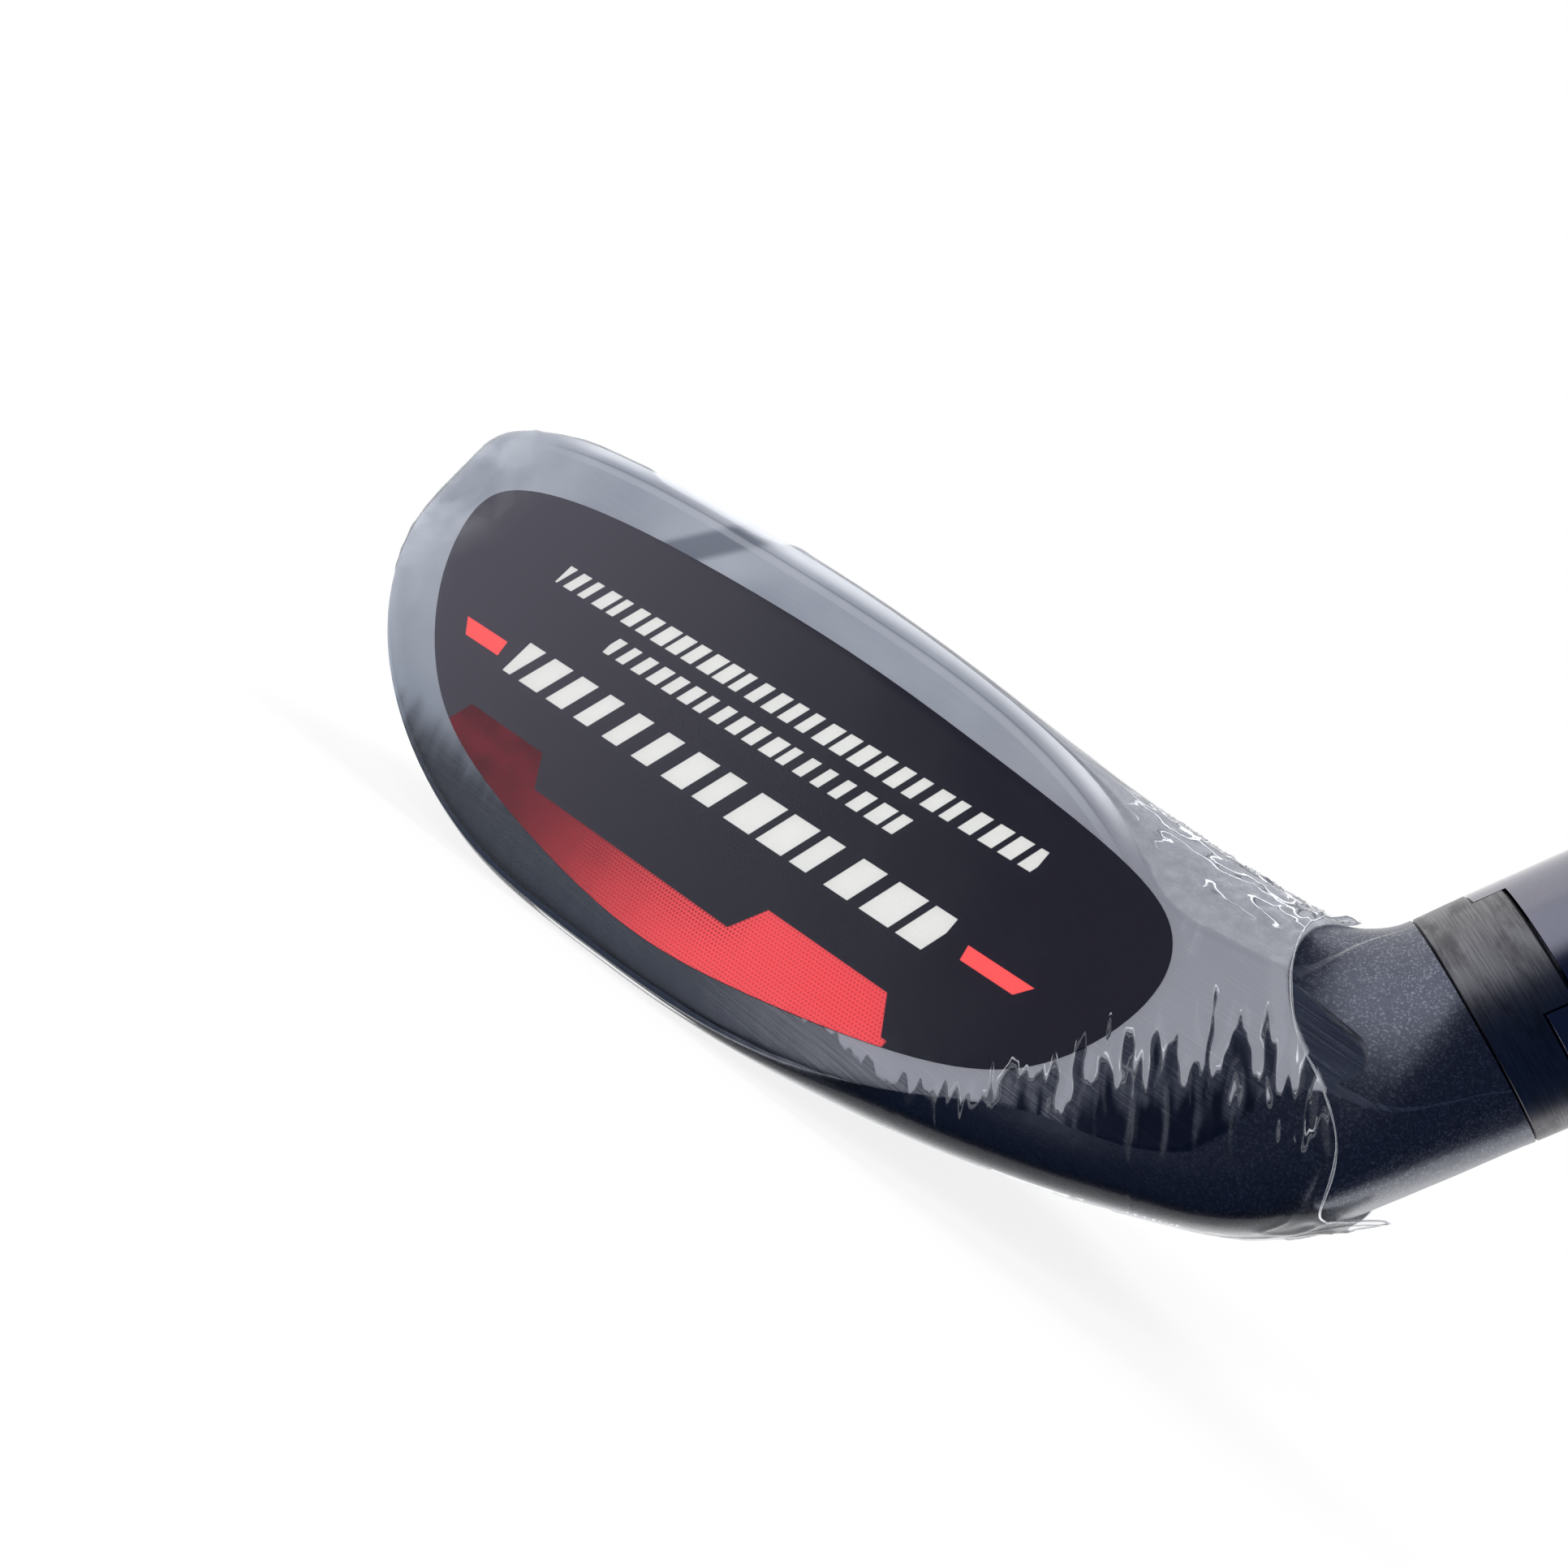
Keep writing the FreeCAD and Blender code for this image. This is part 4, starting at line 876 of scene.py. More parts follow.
give(graphite("graphite_shaft", False), "shaft")
give(graphite("printed_band", True), "shaft_band")

# %% [markdown]
# ## Hidden pieces
#
# The adhesive under the crown plate, the plug in the sleeve and the tape under the grip show only
# when the club is taken apart. Each gets the plain finish of its stuff, with its own grain.

# %% Hidden pieces
adhesive = Finish("crown_adhesive")
blob = adhesive.noise(adhesive.place(), 0.8, 3.0, 0.5)
adhesive.set(base_color=adhesive.mix(blob, (0.10, 0.085, 0.05), (0.17, 0.15, 0.10)))
adhesive.set(roughness=0.35 + blob * 0.2)
give(adhesive, "crown_bond")

plug = Finish("plug_rubber")
pore = plug.noise(plug.place(), 3.0, 4.0, 0.6)
plug.set(base_color=plug.mix(pore, (0.012, 0.012, 0.012), (0.03, 0.03, 0.03)), roughness=0.65 + pore * 0.2)
plug.set(normal=plug.bump(pore, 0.03, 0.5))
give(plug, "tip_plug")

tape = Finish("grip_tape_paper")
crepe = tape.noise(tape.pack(tape.along(AXIS), 0.0, 0.0), 2.0, 3.0, 0.6)
tape.set(base_color=tape.mix(crepe, (0.52, 0.47, 0.36), (0.68, 0.63, 0.50)), roughness=0.8)
tape.set(normal=tape.bump(crepe, 0.05, 0.6))
give(tape, "grip_tape")

# %% [markdown]
# ## The moulded grip
#
# The grip is one rubber tube with a pattern moulded into it, which a thumb can feel, so it has to be
# shape and not only shading. The tube is a sheet wrapped round the shaft's axis, fine enough to carry
# the relief: bands of small raised diamonds, with a plain strip and a thin groove between them, and a
# smooth guide line down the back. It takes its radii from the grip's own solid, so it can't grow.

# %% The grip's pattern
GRIP_LOW, GRIP_HIGH = 743.0, 1006.0      # millimetres up the shaft
GRIP_ROWS = 660
GRIP_TURNS = 144
GRIP_BANDS = 9.0
GROOVE_DEPTH = 0.42
DIAMONDS_ROUND = 24
DIAMOND_PITCH = 3.1          # millimetres along the grip
GUIDE_HALF = 0.16            # radians from the middle of the smooth guide line to its border


def soft_step(value, start, end):
    """The same smooth climb as Field.rise, for numbers."""
    share = min(max((value - start) / (end - start), 0.0), 1.0)
    return share * share * (3.0 - 2.0 * share)


def grip_groove(height, turn):
    """How deep the mould cuts here, from 0 to 1."""
    share = (height - GRIP_LOW) / (GRIP_HIGH - GRIP_LOW)
    band = (share * GRIP_BANDS) % 1.0
    inside = soft_step(band, 0.10, 0.14) * soft_step(band, 0.90, 0.86)
    inside *= soft_step(share, 0.03, 0.04) * soft_step(share, 0.97, 0.96)
    across = turn / (2 * math.pi) * DIAMONDS_ROUND
    up = (height - GRIP_LOW) / DIAMOND_PITCH
    first = abs((across + up) % 1.0 - 0.5) * 2.0
    second = abs((across - up) % 1.0 - 0.5) * 2.0
    cut = max(soft_step(first, 0.66, 0.92), soft_step(second, 0.66, 0.92))
    guide = abs((turn - math.pi / 2 + math.pi) % (2 * math.pi) - math.pi)
    cut *= soft_step(guide, GUIDE_HALF, GUIDE_HALF + 0.06)
    bead = soft_step(abs(band - 0.5), 0.462, 0.478)
    return max(cut * inside, bead * 0.8)


grip_middle = (GRIP_LOW + GRIP_HIGH) / 2
print("grooves round the middle", [round(grip_groove(grip_middle, 0.1 * step), 2) for step in range(5)])


# %% Find a skin with rays
def outer_surface(*names):
    """A tree of the named nodes' faces, to find their outer skin with rays."""
    vertices, faces = [], []
    for name in names:
        mesh = nodes[name].data
        start = len(vertices)
        vertices.extend(v.co.copy() for v in mesh.vertices)
        faces.extend([start + i for i in p.vertices] for p in mesh.polygons)
    return BVHTree.FromPolygons(vertices, faces)


def skin_radius(tree, height, turn):
    """How far the outer skin is from the shaft's axis."""
    far = on_shaft(height, turn, 30.0 * MM)
    inward = (on_shaft(height) - far).normalized()
    hit = tree.ray_cast(far, inward)[0]
    return (hit - on_shaft(height)).length


PROBE_TURN = 0.3             # the grip's solid is round, so one turn gives the radius all round
grip_tree = outer_surface("grip")
print("grip radius at its middle", round(skin_radius(grip_tree, grip_middle * MM, PROBE_TURN) / MM, 2), "mm")


# %% Make a sheet, and put a piece in the scene
def link(mesh, name, body, slot, finish, *stands_for):
    """Puts a new piece in the scene: its finish, the body it rides on, and the nodes it replaces."""
    piece = bpy.data.objects.new(name, mesh)
    bpy.context.scene.collection.objects.link(piece)
    mesh.materials.append(finish.material)
    mesh.shade_smooth()
    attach(piece, body)
    if stands_for:
        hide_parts(*stands_for)
    print(name, len(mesh.vertices), "vertices", len(mesh.polygons), "faces")
    return piece


def sheet(name, rows):
    """A mesh of quads through a grid of points, closed round each row."""
    mesh = bpy.data.meshes.new(name)
    wide = len(rows[0])
    faces = []
    for i in range(len(rows) - 1):
        for j in range(wide):
            k = (j + 1) % wide
            faces.append((i * wide + j, i * wide + k, (i + 1) * wide + k, (i + 1) * wide + j))
    mesh.from_pydata([point for row in rows for point in row], [], faces)
    return mesh


# %% Wrap the grip
END_MARGIN = 0.05            # the first and last rings stay this far inside the grip's ends
TIP_BORE = 7.0               # where the sheet turns inwards at its ends
BUTT_BORE = 8.0

grip_rows, grip_radii = [], []
for row in range(GRIP_ROWS + 1):
    height = GRIP_LOW + END_MARGIN + (GRIP_HIGH - GRIP_LOW - 2 * END_MARGIN) * row / GRIP_ROWS
    radius = skin_radius(grip_tree, height * MM, PROBE_TURN)
    grip_radii.append(radius / MM)
    ring_points = []
    for step in range(GRIP_TURNS):
        turn = 2 * math.pi * step / GRIP_TURNS
        depth = grip_groove(height, turn) * GROOVE_DEPTH * MM
        ring_points.append(on_shaft(height * MM, turn, radius - depth))
    grip_rows.append(ring_points)
grip_turns = [2 * math.pi * step / GRIP_TURNS for step in range(GRIP_TURNS)]
tip_ring = [on_shaft(GRIP_LOW * MM, turn, TIP_BORE * MM) for turn in grip_turns]
butt_ring = [on_shaft(GRIP_HIGH * MM, turn, BUTT_BORE * MM) for turn in grip_turns]
grip_mesh = sheet("moulded_grip", [tip_ring] + grip_rows + [butt_ring])
print("grip radii from", round(min(grip_radii), 2), "to", round(max(grip_radii), 2), "mm")


# %% Rubber
def rubber(name):
    finish = Finish(name)
    height, turn = finish.shaft_frame()
    grain = finish.noise(finish.place(), 4.0, 3.0, 0.6)
    wear = finish.noise(finish.place(), 0.12, 2.0, 0.5)
    guide = (turn - math.pi / 2).size()
    mark = guide.rise(0.055, 0.045) * height.within(GRIP_LOW + 14.0, GRIP_HIGH - 14.0, 0.2)
    colour = finish.mix(grain, (0.013, 0.013, 0.014), (0.026, 0.026, 0.028))
    colour = finish.mix(mark, colour, (0.30, 0.31, 0.32))
    finish.set(base_color=colour, roughness=0.62 + wear * 0.2, normal=finish.bump(grain, 0.05, 0.5))
    return finish


grip_rubber = rubber("grip_rubber")
link(grip_mesh, "moulded_grip", "shaft", "grip_rubber", grip_rubber, "grip")
give(rubber("cap_rubber"), "grip_cap")

# %% [markdown]
# ## The film: a skin shrunk over the head
#
# Heat shrink film is a tenth of a millimetre thick and follows the head everywhere. CAD holds it as a
# thin solid. Here it is a fine sheet, because what the eye sees is its creases. The sheet's columns
# run from the toe's tip to the neck. Each station along them is a plane across the head: upright from
# the toe inwards, then a fan that swings round the neck's corner until it is square to the shaft. In
# each plane, rays from outside find the head's skin.

# %% Rays onto the head
SHAFT_TILT = math.asin(AXIS.z)
head_tree = outer_surface("head_body", "face_cup", "crown_plate", "face_sticker")


def section_plane(place):
    """The pivot line's point and the outward direction of one plane across the head.

    Below 0 a place is metres towards the toe. Above 0 it is the turn of the fan.
    """
    if place <= 0.0:
        return NECK_CENTRE + Vector((place, 0.0, 0.0)), Vector((0.0, 0.0, -1.0))
    return NECK_CENTRE, Vector((math.sin(place), 0.0, -math.cos(place)))


def skin_hit(place, core, turn):
    """The head's skin in a plane, seen from the core, at a turn round it."""
    origin, outward = section_plane(place)
    reach, depth = core
    middle = origin + outward * reach + ALONG_Y * depth
    ray = outward * math.cos(turn) + ALONG_Y * math.sin(turn)
    far = 0.09
    if ray.dot(outward) < 0.0:
        far = min(far, (reach - 0.6 * MM) / -ray.dot(outward))
    return head_tree.ray_cast(middle + ray * far, -ray, far)[0]


print("shaft leans", round(math.degrees(SHAFT_TILT), 1), "degrees over which the fan turns")


# %% The middle of each section
FIRST_REACH = 0.018          # metres, a first guess that the rounds make better
FIRST_DEPTH = 0.008
CORE_ROUNDS = 3
CORE_RAYS = 24
FAN_CORES = 8
TOE_CORES = 20


def core_of(place):
    """The middle of a section: its reach from the pivot line, and its depth behind the axis."""
    origin, outward = section_plane(place)
    reach, depth = FIRST_REACH, FIRST_DEPTH
    for _ in range(CORE_ROUNDS):
        turns = [2 * math.pi * step / CORE_RAYS for step in range(CORE_RAYS)]
        hits = [skin_hit(place, (reach, depth), turn) for turn in turns]
        hits = [hit for hit in hits if hit]
        reaches = [(hit - origin).dot(outward) for hit in hits]
        depths = [hit.y for hit in hits]
        reach = (min(reaches) + max(reaches)) / 2
        depth = (min(depths) + max(depths)) / 2
    return reach, depth


head_points = [v.co for name in ("head_body", "face_cup") for v in nodes[name].data.vertices]
tip = min(head_points, key=lambda co: co.x)
TIP_PLACE = tip.x - NECK_CENTRE.x
FIRST_CORE = TIP_PLACE + 6.0 * MM
core_places = [TIP_PLACE] + [FIRST_CORE - FIRST_CORE * i / TOE_CORES for i in range(TOE_CORES + 1)]
core_places += [SHAFT_TILT * i / FAN_CORES for i in range(1, FAN_CORES + 1)]
cores = [(NECK_CENTRE.z - tip.z, tip.y)] + [core_of(place) for place in core_places[1:]]
print("toe tip", [round(v / MM, 2) for v in tip], "core stations", len(cores))

# %% [markdown]
# ## Where the film ends
#
# The film was cut before it was shrunk, so its end wanders: high in the corner of the neck, lower at
# the heel. Under the heel a little tongue of it never shrank down and stands off the neck.


# %% The end of the film
TONGUE_TURN = -0.26
TONGUE_WIDTH = 0.24
TONGUE_LENGTH = 3.2          # millimetres past the rest of the end


def bell(value, middle, width):
    return math.exp(-((value - middle) / width) ** 2)


def film_end(turn):
    """How far up the shaft the film goes, in millimetres, at a turn round the shaft."""
    wander = noise.noise(Vector((math.cos(turn) * 2.2, math.sin(turn) * 2.2, 5.0))) * 0.4
    tongue = bell(turn, TONGUE_TURN, TONGUE_WIDTH) * TONGUE_LENGTH
    corner = bell(math.pi - abs(turn), 0.0, CORNER_WIDTH) * CORNER_CLIMB
    heel = bell(turn, 0.0, HEEL_WIDTH) * HEEL_DROP
    notch = bell(turn, NOTCH_TURN, NOTCH_WIDTH) * NOTCH_DROP
    return FILM_END + corner - heel - notch + wander + tongue


print("film ends at", [round(film_end(math.pi * quarter / 2), 1) for quarter in range(-1, 3)], "mm")

# %% [markdown]
# ## The film's creases
#
# Shrink film creases where it has more skin than the head needs. Fingers run down across the line
# between air and cling, a few runs cross the heel, fine crinkles lie over the neck's corner, and slack
# waves lie behind and at the toe. Each kind is a noise with sharp ridges, stretched along the way
# its creases run, and faded in where that kind belongs.


# %% The shapes of a crease
def ridged(x, y, z):
    """Sharp creases with soft valleys between, from 0 to 1."""
    return max(0.0, 1.0 - abs(noise.noise(Vector((x, y, z)))) * 3.2) ** 2.5


DRIP_WIDTH = 0.15
DRIPS = (                    # where each run starts and ends on the face, and how much it bends
    ((37.6, 15.4), (41.6, 7.6), 0.3), ((36.4, 17.0), (39.2, 11.6), 0.2), ((38.8, 16.0), (41.6, 11.8), -0.2),
    ((35.0, 24.4), (34.2, 27.2), 0.1), ((42.9, 17.5), (46.2, 12.4), 0.3), ((33.6, 25.6), (33.2, 27.6), 0.1),
)


def near_line(x, up, start, end, bend):
    """1 on a short curved crease and 0 away from it."""
    run, rise = end[0] - start[0], end[1] - start[1]
    length = math.hypot(run, rise)
    share = ((x - start[0]) * run + (up - start[1]) * rise) / (length * length)
    aside = ((x - start[0]) * rise - (up - start[1]) * run) / length - bend * math.sin(share * 4.0)
    ends = soft_step(share, -0.1, 0.1) * soft_step(share, 1.1, 0.9)
    return bell(aside, 0.0, DRIP_WIDTH) * ends


print(len(DRIPS), "runs drawn one by one")

# %% How high the creases stand
WAVE_HEIGHT = 0.035          # millimetres, as the other heights
FINGER_HEIGHT = 0.12
DRIP_HEIGHT = 0.13
CRINKLE_HEIGHT = 0.18
PUCKER_HEIGHT = 0.08
BEHIND_HEIGHT = 0.16
TOE_HEIGHT = 0.14


def crease(point):
    """How far a crease stands off the head here, in millimetres."""
    x = point.x / MM
    up = (point - FACE_FOOT).dot(UP_FACE) / MM
    out = (point - FACE_FOOT).dot(FACE_OUT) / MM
    height = (point - GROUND_POINT).dot(AXIS) / MM
    front = soft_step(out, -6.0, -0.6)
    slack = soft_step(height, 4.0, 15.0)
    lift = WAVE_HEIGHT * noise.noise(Vector((x * 0.16, up * 0.16, out * 0.16)))
    over_streak, along_streak = streak_frame(x, up)
    cling_edge = 5.0 + soft_step(x, 24.0, 44.0) * 16.5
    finger = ridged(over_streak * 0.95, along_streak * 0.20, out * 0.2)
    finger_wide = 1.6 + 4.4 * soft_step(x, 30.0, 37.0)
    finger_zone = soft_step(x, 22.0, 30.0) * soft_step(abs(up - cling_edge), finger_wide, finger_wide * 0.4)
    lift += FINGER_HEIGHT * finger * finger_zone * front
    for start, end, bend in DRIPS:
        lift += DRIP_HEIGHT * near_line(x, up, start, end, bend) * front
    crinkle = ridged(over_streak * 0.45 + 3.0, along_streak * 1.15, out * 0.75)
    top_zone = soft_step(up, 26.5, 30.0) * soft_step(x, 24.0, 31.0)
    pucker = noise.noise(Vector((x * 1.3, up * 1.3, out * 1.3)))
    lift += (CRINKLE_HEIGHT * crinkle + PUCKER_HEIGHT * pucker) * top_zone * slack
    behind_zone = soft_step(height, 10.0, 19.0) * (1.0 - front)
    lift += BEHIND_HEIGHT * ridged(x * 0.16, up * 0.30 + 7.0, out * 0.34) * behind_zone
    toe_slack = soft_step(x, -30.0, -42.0)
    lift += TOE_HEIGHT * ridged(x * 0.22, up * 0.26, out * 0.22 + 3.0) * toe_slack
    return lift


print("crease at the toe's tip", round(crease(tip), 3), "mm")

# %% How the film's end stands off
LIP_HEIGHT = 0.28
LIP_WIDTH = 0.9
TONGUE_HEIGHT = 0.8


def stand_off(point):
    """The film's end opens like a lip, and its tongue stands off the heel."""
    height = (point - GROUND_POINT).dot(AXIS) / MM
    turn = math.atan2(point.y, (point - GROUND_POINT).dot(ACROSS))
    short_of_end = film_end(turn) - height
    tongue = bell(turn, TONGUE_TURN, TONGUE_WIDTH) * soft_step(short_of_end, 5.2, 0.4)
    return LIP_HEIGHT * bell(short_of_end, 0.0, LIP_WIDTH) + TONGUE_HEIGHT * tongue


print("film stands off the toe's tip by", round(stand_off(tip), 3), "mm more")

# %% Stations along the head
TOE_STATIONS = 160           # they crowd towards the toe's tip, where the skin turns fastest
FAN_STATIONS = 60


def between(places, values, place):
    """The values at a place, from those of the stations on both sides of it."""
    for (low, high), (start, end) in zip(zip(places, places[1:]), zip(values, values[1:])):
        if place <= high:
            share = (place - low) / (high - low)
            return tuple(a + (b - a) * share for a, b in zip(start, end))
    return values[-1]


toe_shares = [(i / TOE_STATIONS) ** 1.5 * 0.999 for i in range(TOE_STATIONS)]
march_places = [TIP_PLACE + 0.02 * MM - TIP_PLACE * share for share in toe_shares]
march_places += [SHAFT_TILT * i / FAN_STATIONS for i in range(FAN_STATIONS + 1)]
march_cores = [between(core_places, cores, place) for place in march_places]
print("stations", len(march_places))

# %% March along the film's columns
FILM_COLUMNS = 480
PORT_OPENING = 5.4           # the film's opening round the wrench port
PORT_DEPTH = 12.0


def in_port(point):
    """Inside the wrench port, which the film leaves open."""
    height = (point - GROUND_POINT).dot(AXIS)
    return height < PORT_DEPTH * MM and (point - on_shaft(height)).length < PORT_OPENING * MM


columns = []
for column in range(FILM_COLUMNS):
    turn = 2 * math.pi * column / FILM_COLUMNS
    line = [tip.copy()]
    for place, core in zip(march_places, march_cores):
        hit = skin_hit(place, core, turn)
        if hit is None or in_port(hit):
            continue
        height = (hit - GROUND_POINT).dot(AXIS) / MM
        round_shaft = math.atan2(hit.y, (hit - GROUND_POINT).dot(ACROSS))
        spare = film_end(round_shaft) - height
        if spare <= 0.0:
            share = last_spare / (last_spare - spare)
            line.append(line[-1].lerp(hit, share))
            break
        last_spare = spare
        line.append(hit)
    columns.append(line)
print("march", min(len(line) for line in columns), "to", max(len(line) for line in columns), "points")

# %% Rows across the columns
FILM_ROWS = 400
EDGE_CROWDING = 0.42         # how much closer the rows lie at the neck than on average


def resample(line, count):
    """Points along a line, closer together towards its end."""
    spans = [0.0]
    for first, second in zip(line, line[1:]):
        spans.append(spans[-1] + (second - first).length)
    points, at = [], 0
    for i in range(count + 1):
        share = i / count
        share = share * (1.0 + EDGE_CROWDING) - share * share * EDGE_CROWDING
        goal = share * spans[-1]
        while at < len(spans) - 2 and spans[at + 1] < goal:
            at += 1
        step = spans[at + 1] - spans[at]
        points.append(line[at].lerp(line[at + 1], (goal - spans[at]) / step if step else 0.0))
    return points


film_columns = [resample(line, FILM_ROWS) for line in columns]
film_rows = [[column[row] for column in film_columns] for row in range(FILM_ROWS + 1)]
raw = np.array([[tuple(point) for point in row] for row in film_rows])
print("rows", len(film_rows), "of", len(film_rows[0]), "points")

# %% [markdown]
# ## Pulling the film tight
#
# The rays give the head's skin exactly, with every step and groove, and a tight film bridges those.
# So the sheet is averaged with its neighbours a few times. Where that would sink it into the head, it
# is lifted out again. Then the creases go on, and the sheet is cut open round the wrench port.

# %% Smooth a grid of points
SMOOTHING = 7                # rounds
LIFT_SMOOTHING = 4
NORMAL_SMOOTHING = 3
STEEPNESS_SMOOTHING = 2
FILM_LIFT = 0.19             # millimetres from the head to the film's outer side
DEEPEST_CREASE = -0.04       # a crease never goes nearer to the head than this
LEAST_STEP = 0.05            # millimetres between points that are taken as apart


def smoothed(grid, rounds):
    """Averages neighbours: it bridges the steps under the film as a tight skin does."""
    for _ in range(rounds):
        sideways = (np.roll(grid, 1, axis=1) + np.roll(grid, -1, axis=1)) / 2
        grid = (grid + sideways) / 2
        lengthways = grid.copy()
        lengthways[1:-1] = (grid[:-2] + grid[2:]) / 2
        grid = (grid + lengthways) / 2
    return grid


def grid_normals(grid):
    """Directions square to the sheet, away from the head."""
    lengthways = np.gradient(grid, axis=0)
    sideways = (np.roll(grid, -1, axis=1) - np.roll(grid, 1, axis=1)) / 2
    normal = np.cross(lengthways, sideways)
    size = np.linalg.norm(normal, axis=2, keepdims=True)
    normal = normal / np.maximum(size, 1e-12)
    outward = grid - grid.mean(axis=(0, 1))
    if (normal * outward).sum() < 0:
        normal = -normal
    normal[0] = (-1.0, 0.0, 0.0)
    return normal


print("smoothing", SMOOTHING, "rounds, then", FILM_LIFT, "mm outwards")

# %% The tight skin and its creases
skin = smoothed(raw, SMOOTHING)
normals = smoothed(grid_normals(skin), NORMAL_SMOOTHING)
sunk = ((raw - skin) * normals).sum(axis=2, keepdims=True)
skin = skin + normals * (smoothed(np.maximum(sunk, 0.0), LIFT_SMOOTHING) + FILM_LIFT * MM)
creases = np.array([[crease(Vector(point)) for point in row] for row in skin])
creases = np.maximum(creases, DEEPEST_CREASE)
openings = np.array([[stand_off(Vector(point)) for point in row] for row in skin])
film_grid = skin + normals * (creases + openings)[:, :, None] * MM
print("film would sink", round(float(sunk.max()) / MM, 2), "mm into the head, so it is lifted there")

# %% How steep the creases are
row_step = np.linalg.norm(np.gradient(skin, axis=0), axis=2) / MM
column_step = np.linalg.norm(np.roll(skin, -1, axis=1) - skin, axis=2) / MM
steepness = np.abs(np.gradient(creases, axis=0)) / np.maximum(row_step, LEAST_STEP)
steepness += np.abs(np.roll(creases, -1, axis=1) - creases) / np.maximum(column_step, LEAST_STEP)
steepness = smoothed(steepness, STEEPNESS_SMOOTHING)
print("film grid", film_grid.shape, "creases up to", round(float(creases.max()), 2), "mm")
film_mesh = sheet("film_skin", [[tuple(point) for point in row] for row in film_grid])
slopes = film_mesh.attributes.new("crease", "FLOAT", "POINT")
slopes.data.foreach_set("value", steepness.ravel())

# %% Cut the film open at the wrench port
opening = bmesh.new()
opening.from_mesh(film_mesh)
inside = [face for face in opening.faces if in_port(face.calc_center_median())]
bmesh.ops.delete(opening, geom=inside, context="FACES")
opening.to_mesh(film_mesh)
opening.free()
print("faces cut out of the film at the port", len(inside))

# %% [markdown]
# ## The film's finish
#
# Clear film is seen only by what it mirrors. A Mix Shader lets the head show through, and the share
# of the mirror comes from Fresnel, which grows where the film turns away. A crease catches light
# along its flanks, and the film is stressed white there; the white is partly that and partly a
# painted highlight, so the sheet carries its steepness and the finish makes the steep places whiter.
# On the toe the film is slack and foggy. Two kinds of line are too fine for the sheet and are drawn
# as a painted highlight and a painted shadow: along the border between air and cling, which comes
# from the same function as the steel's haze, and along the folds over the neck's corner, which run
# like contour lines of a soft noise.


# %% The film's colours and drawn lines
FILM_IOR = 1.46
FILM_DIM = (0.42, 0.43, 0.45)
FILM_BRIGHT = (0.92, 0.94, 0.97)
CREASE_WHITE_AND_HIGHLIGHT = (0.90, 0.92, 0.95)
CREASE_SHADE = (0.045, 0.048, 0.060)


def drawn_lines(finish, across, up):
    """Painted highlight and painted shadow lines on the film's front."""
    out = finish.along(FACE_OUT, FACE_FOOT)
    air = air_under_film(finish, across, up)
    at_border = out.rise(-1.4, -0.5) * across.rise(25.0, 31.0)
    broken = finish.noise(finish.place(), 0.8, 1.0, 0.5).rise(0.47, 0.60)
    # Painted highlight and painted shadow along the border between air and cling.
    bright = air.within(0.45, 0.85, 0.25) * at_border * broken
    shade = air.within(-0.75, -0.15, 0.25) * at_border
    folds = finish.noise(finish.pack(across * 0.5, up * 1.7, out * 1.5), 0.62, 0.6, 0.4)
    over_corner = across.rise(21.0, 29.0) * up.rise(25.0, 27.5)
    over_corner = over_corner * out.rise(0.10, -0.40) * out.rise(-7.0, -3.5)
    # Painted highlight and painted shadow lines along the folds over the neck's corner.
    bright = bright.high(folds.within(0.495, 0.525, 0.010) * over_corner * 1.8)
    shade = shade.high(folds.within(0.545, 0.575, 0.010) * over_corner * 1.3)
    return bright, shade


print("drawn lines go from", CREASE_WHITE_AND_HIGHLIGHT, "to", CREASE_SHADE)


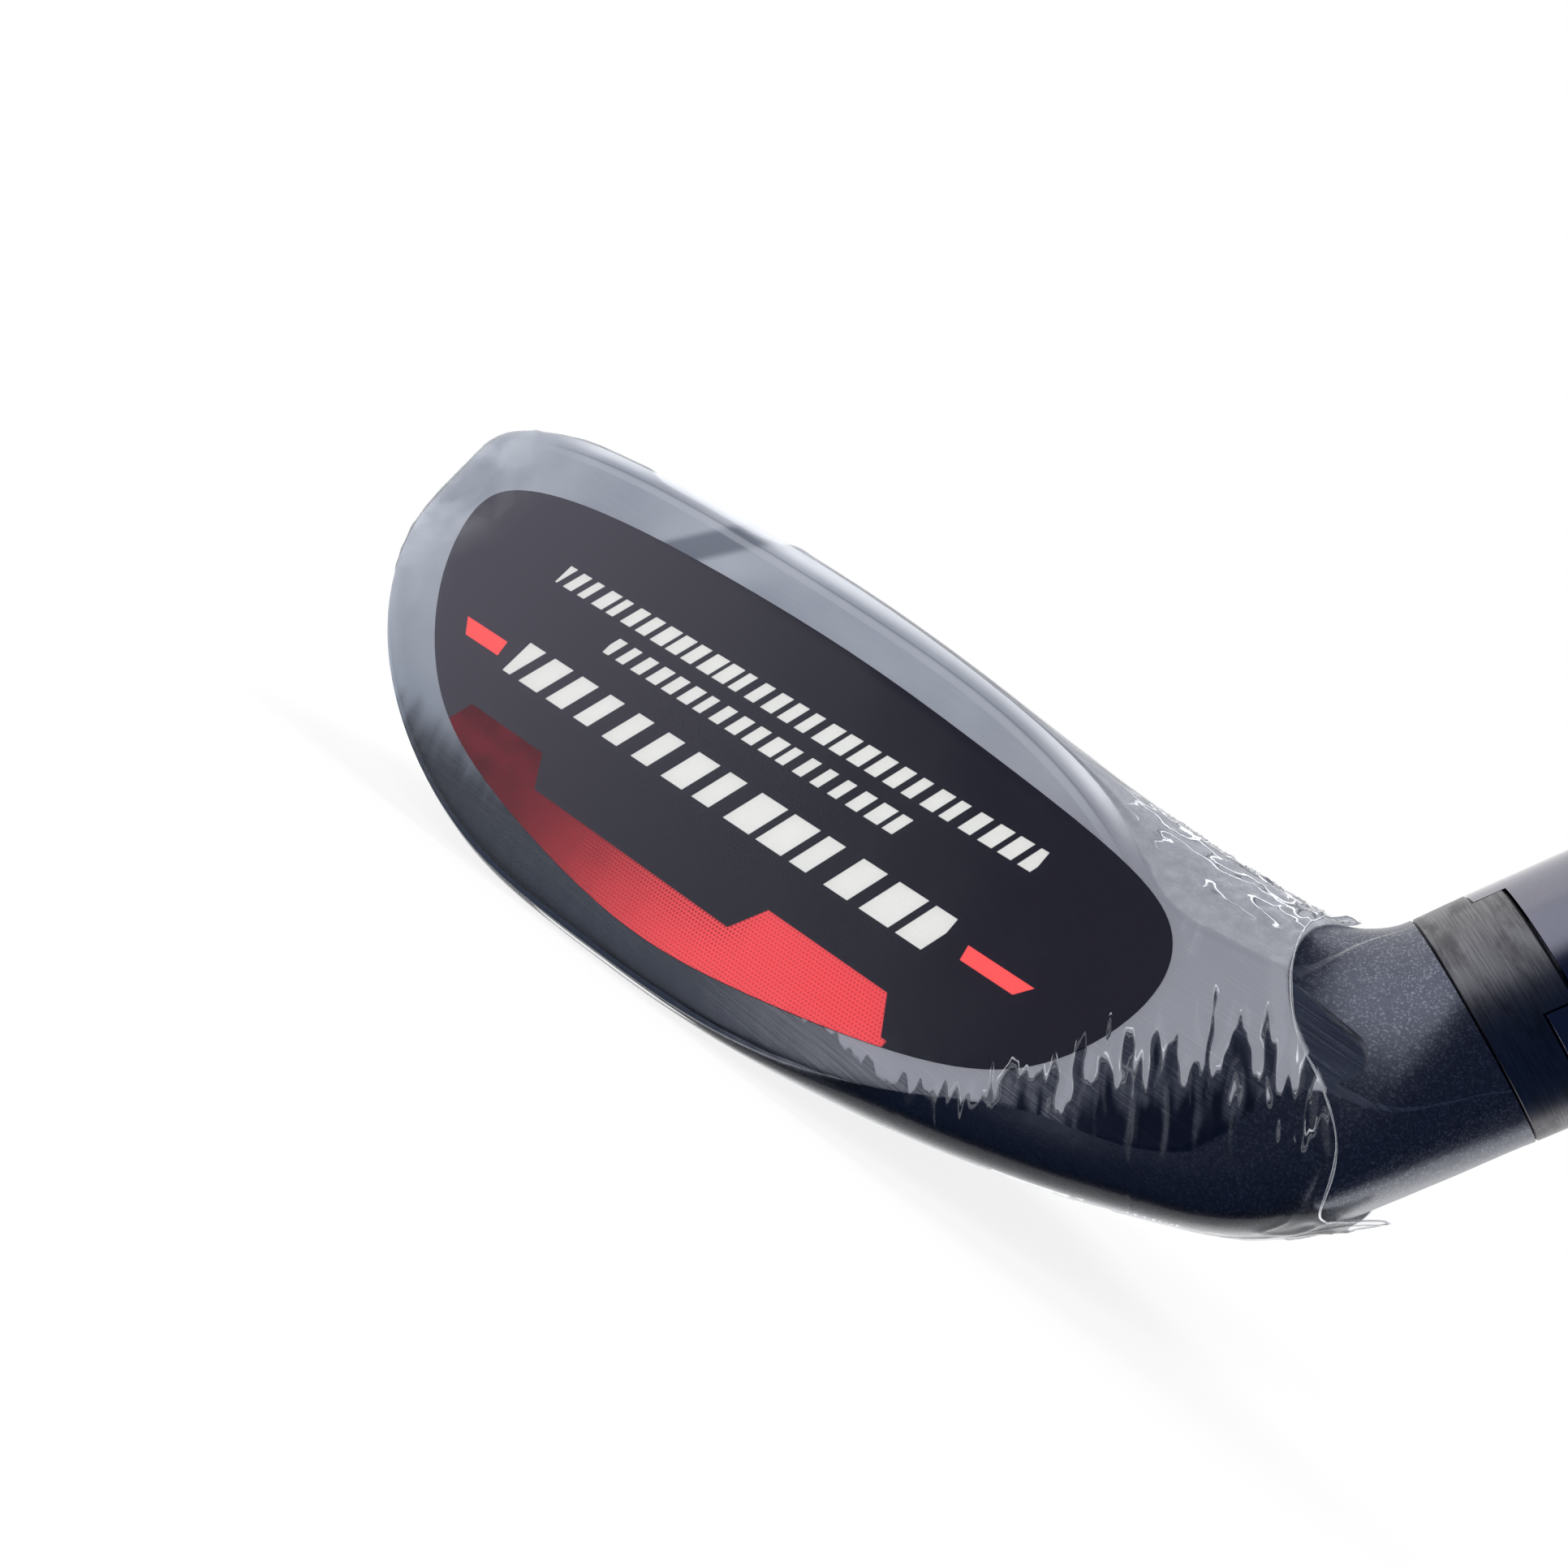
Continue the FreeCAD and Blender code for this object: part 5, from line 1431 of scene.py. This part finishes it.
# %% Clear film
def clear_film(name, least, milky, creased=False):
    """Film that mirrors by at least a share, and is milky by a share."""
    finish = Finish(name)
    grain = finish.noise(finish.place(), 1.6, 3.0, 0.6)
    bump = finish.bump(grain, 0.012, 0.5)
    fresnel = finish.node("ShaderNodeFresnel", None, {"IOR": FILM_IOR, "Normal": bump})
    mirror = fresnel + least
    white = milky
    colour = finish.mix(fresnel.rise(0.05, 0.40), FILM_DIM, FILM_BRIGHT)
    if creased:
        ridge = finish.node("ShaderNodeAttribute", {"attribute_name": "crease"}, output=2)
        # Steep crease flanks turn white: partly the film stressed white, partly a painted highlight.
        stress_and_highlight = ridge.rise(0.22, 0.85)
        across = finish.along(Vector((1.0, 0.0, 0.0)))
        up = finish.along(UP_FACE, FACE_FOOT)
        fog = finish.noise(finish.place(), 0.16, 4.0, 0.6).rise(0.35, 0.65) * across.rise(-33.0, -43.0)
        bright, shade = drawn_lines(finish, across, up)
        mirror = mirror + stress_and_highlight * 0.14 + fog * 0.12 + bright * 0.40 + shade * 0.45
        white = (stress_and_highlight.high(fog) * 0.8).high(bright).high(shade).low(1.0)
        colour = finish.mix(white, colour, CREASE_WHITE_AND_HIGHLIGHT)
        colour = finish.mix(shade.low(1.0), colour, CREASE_SHADE)
    finish.set(
        base_color=colour,
        metallic=1.0 - white,
        roughness=grain * 0.05 + (white * 0.2 + 0.07),
        normal=bump,
    )
    finish.let_through(mirror.low(0.92))
    return finish


film_finish = clear_film("clear_film", 0.02, 0.0, creased=True)
film = link(film_mesh, "film_skin", "head", "clear_film", film_finish, "protective_film")
film.visible_shadow = False

# %% [markdown]
# ## The film's cut end
#
# The cut end shrinks into a thin bead, thicker than the film, and it shows as a bright line round the
# neck. The bead is a thread of round section laid along the sheet's last row.


# %% The bead at the film's end
BEAD_RADIUS = 0.075          # millimetres
BEAD_CHANGE = 0.05
BEAD_SIDES = 8


def thread(path, radius, sides):
    """A closed tube round a loop of points, whose radius may change along it."""
    rows = []
    for i, point in enumerate(path):
        before, after = Vector(path[i - 1]), Vector(path[(i + 1) % len(path)])
        forward = (after - before).normalized()
        side = forward.cross(AXIS).normalized()
        rise = side.cross(forward)
        wide = radius(i)
        spokes = [2 * math.pi * step / sides for step in range(sides)]
        rows.append([Vector(point) + (side * math.cos(a) + rise * math.sin(a)) * wide for a in spokes])
    rows.append(rows[0])
    return sheet("film_bead", rows)


def bead_radius(index):
    turn = 2 * math.pi * index / FILM_COLUMNS
    change = noise.noise(Vector((math.cos(turn) * 6.0, math.sin(turn) * 6.0, 1.0)))
    return (BEAD_RADIUS + BEAD_CHANGE * change) * MM


bead_mesh = thread([tuple(point) for point in film_grid[-1]], bead_radius, BEAD_SIDES)
bead = link(bead_mesh, "film_bead", "head", "clear_film", clear_film("film_bead", 0.30, 0.35))
bead.visible_shadow = False
give(clear_film("plain_film", 0.02, 0.0), "protective_film")
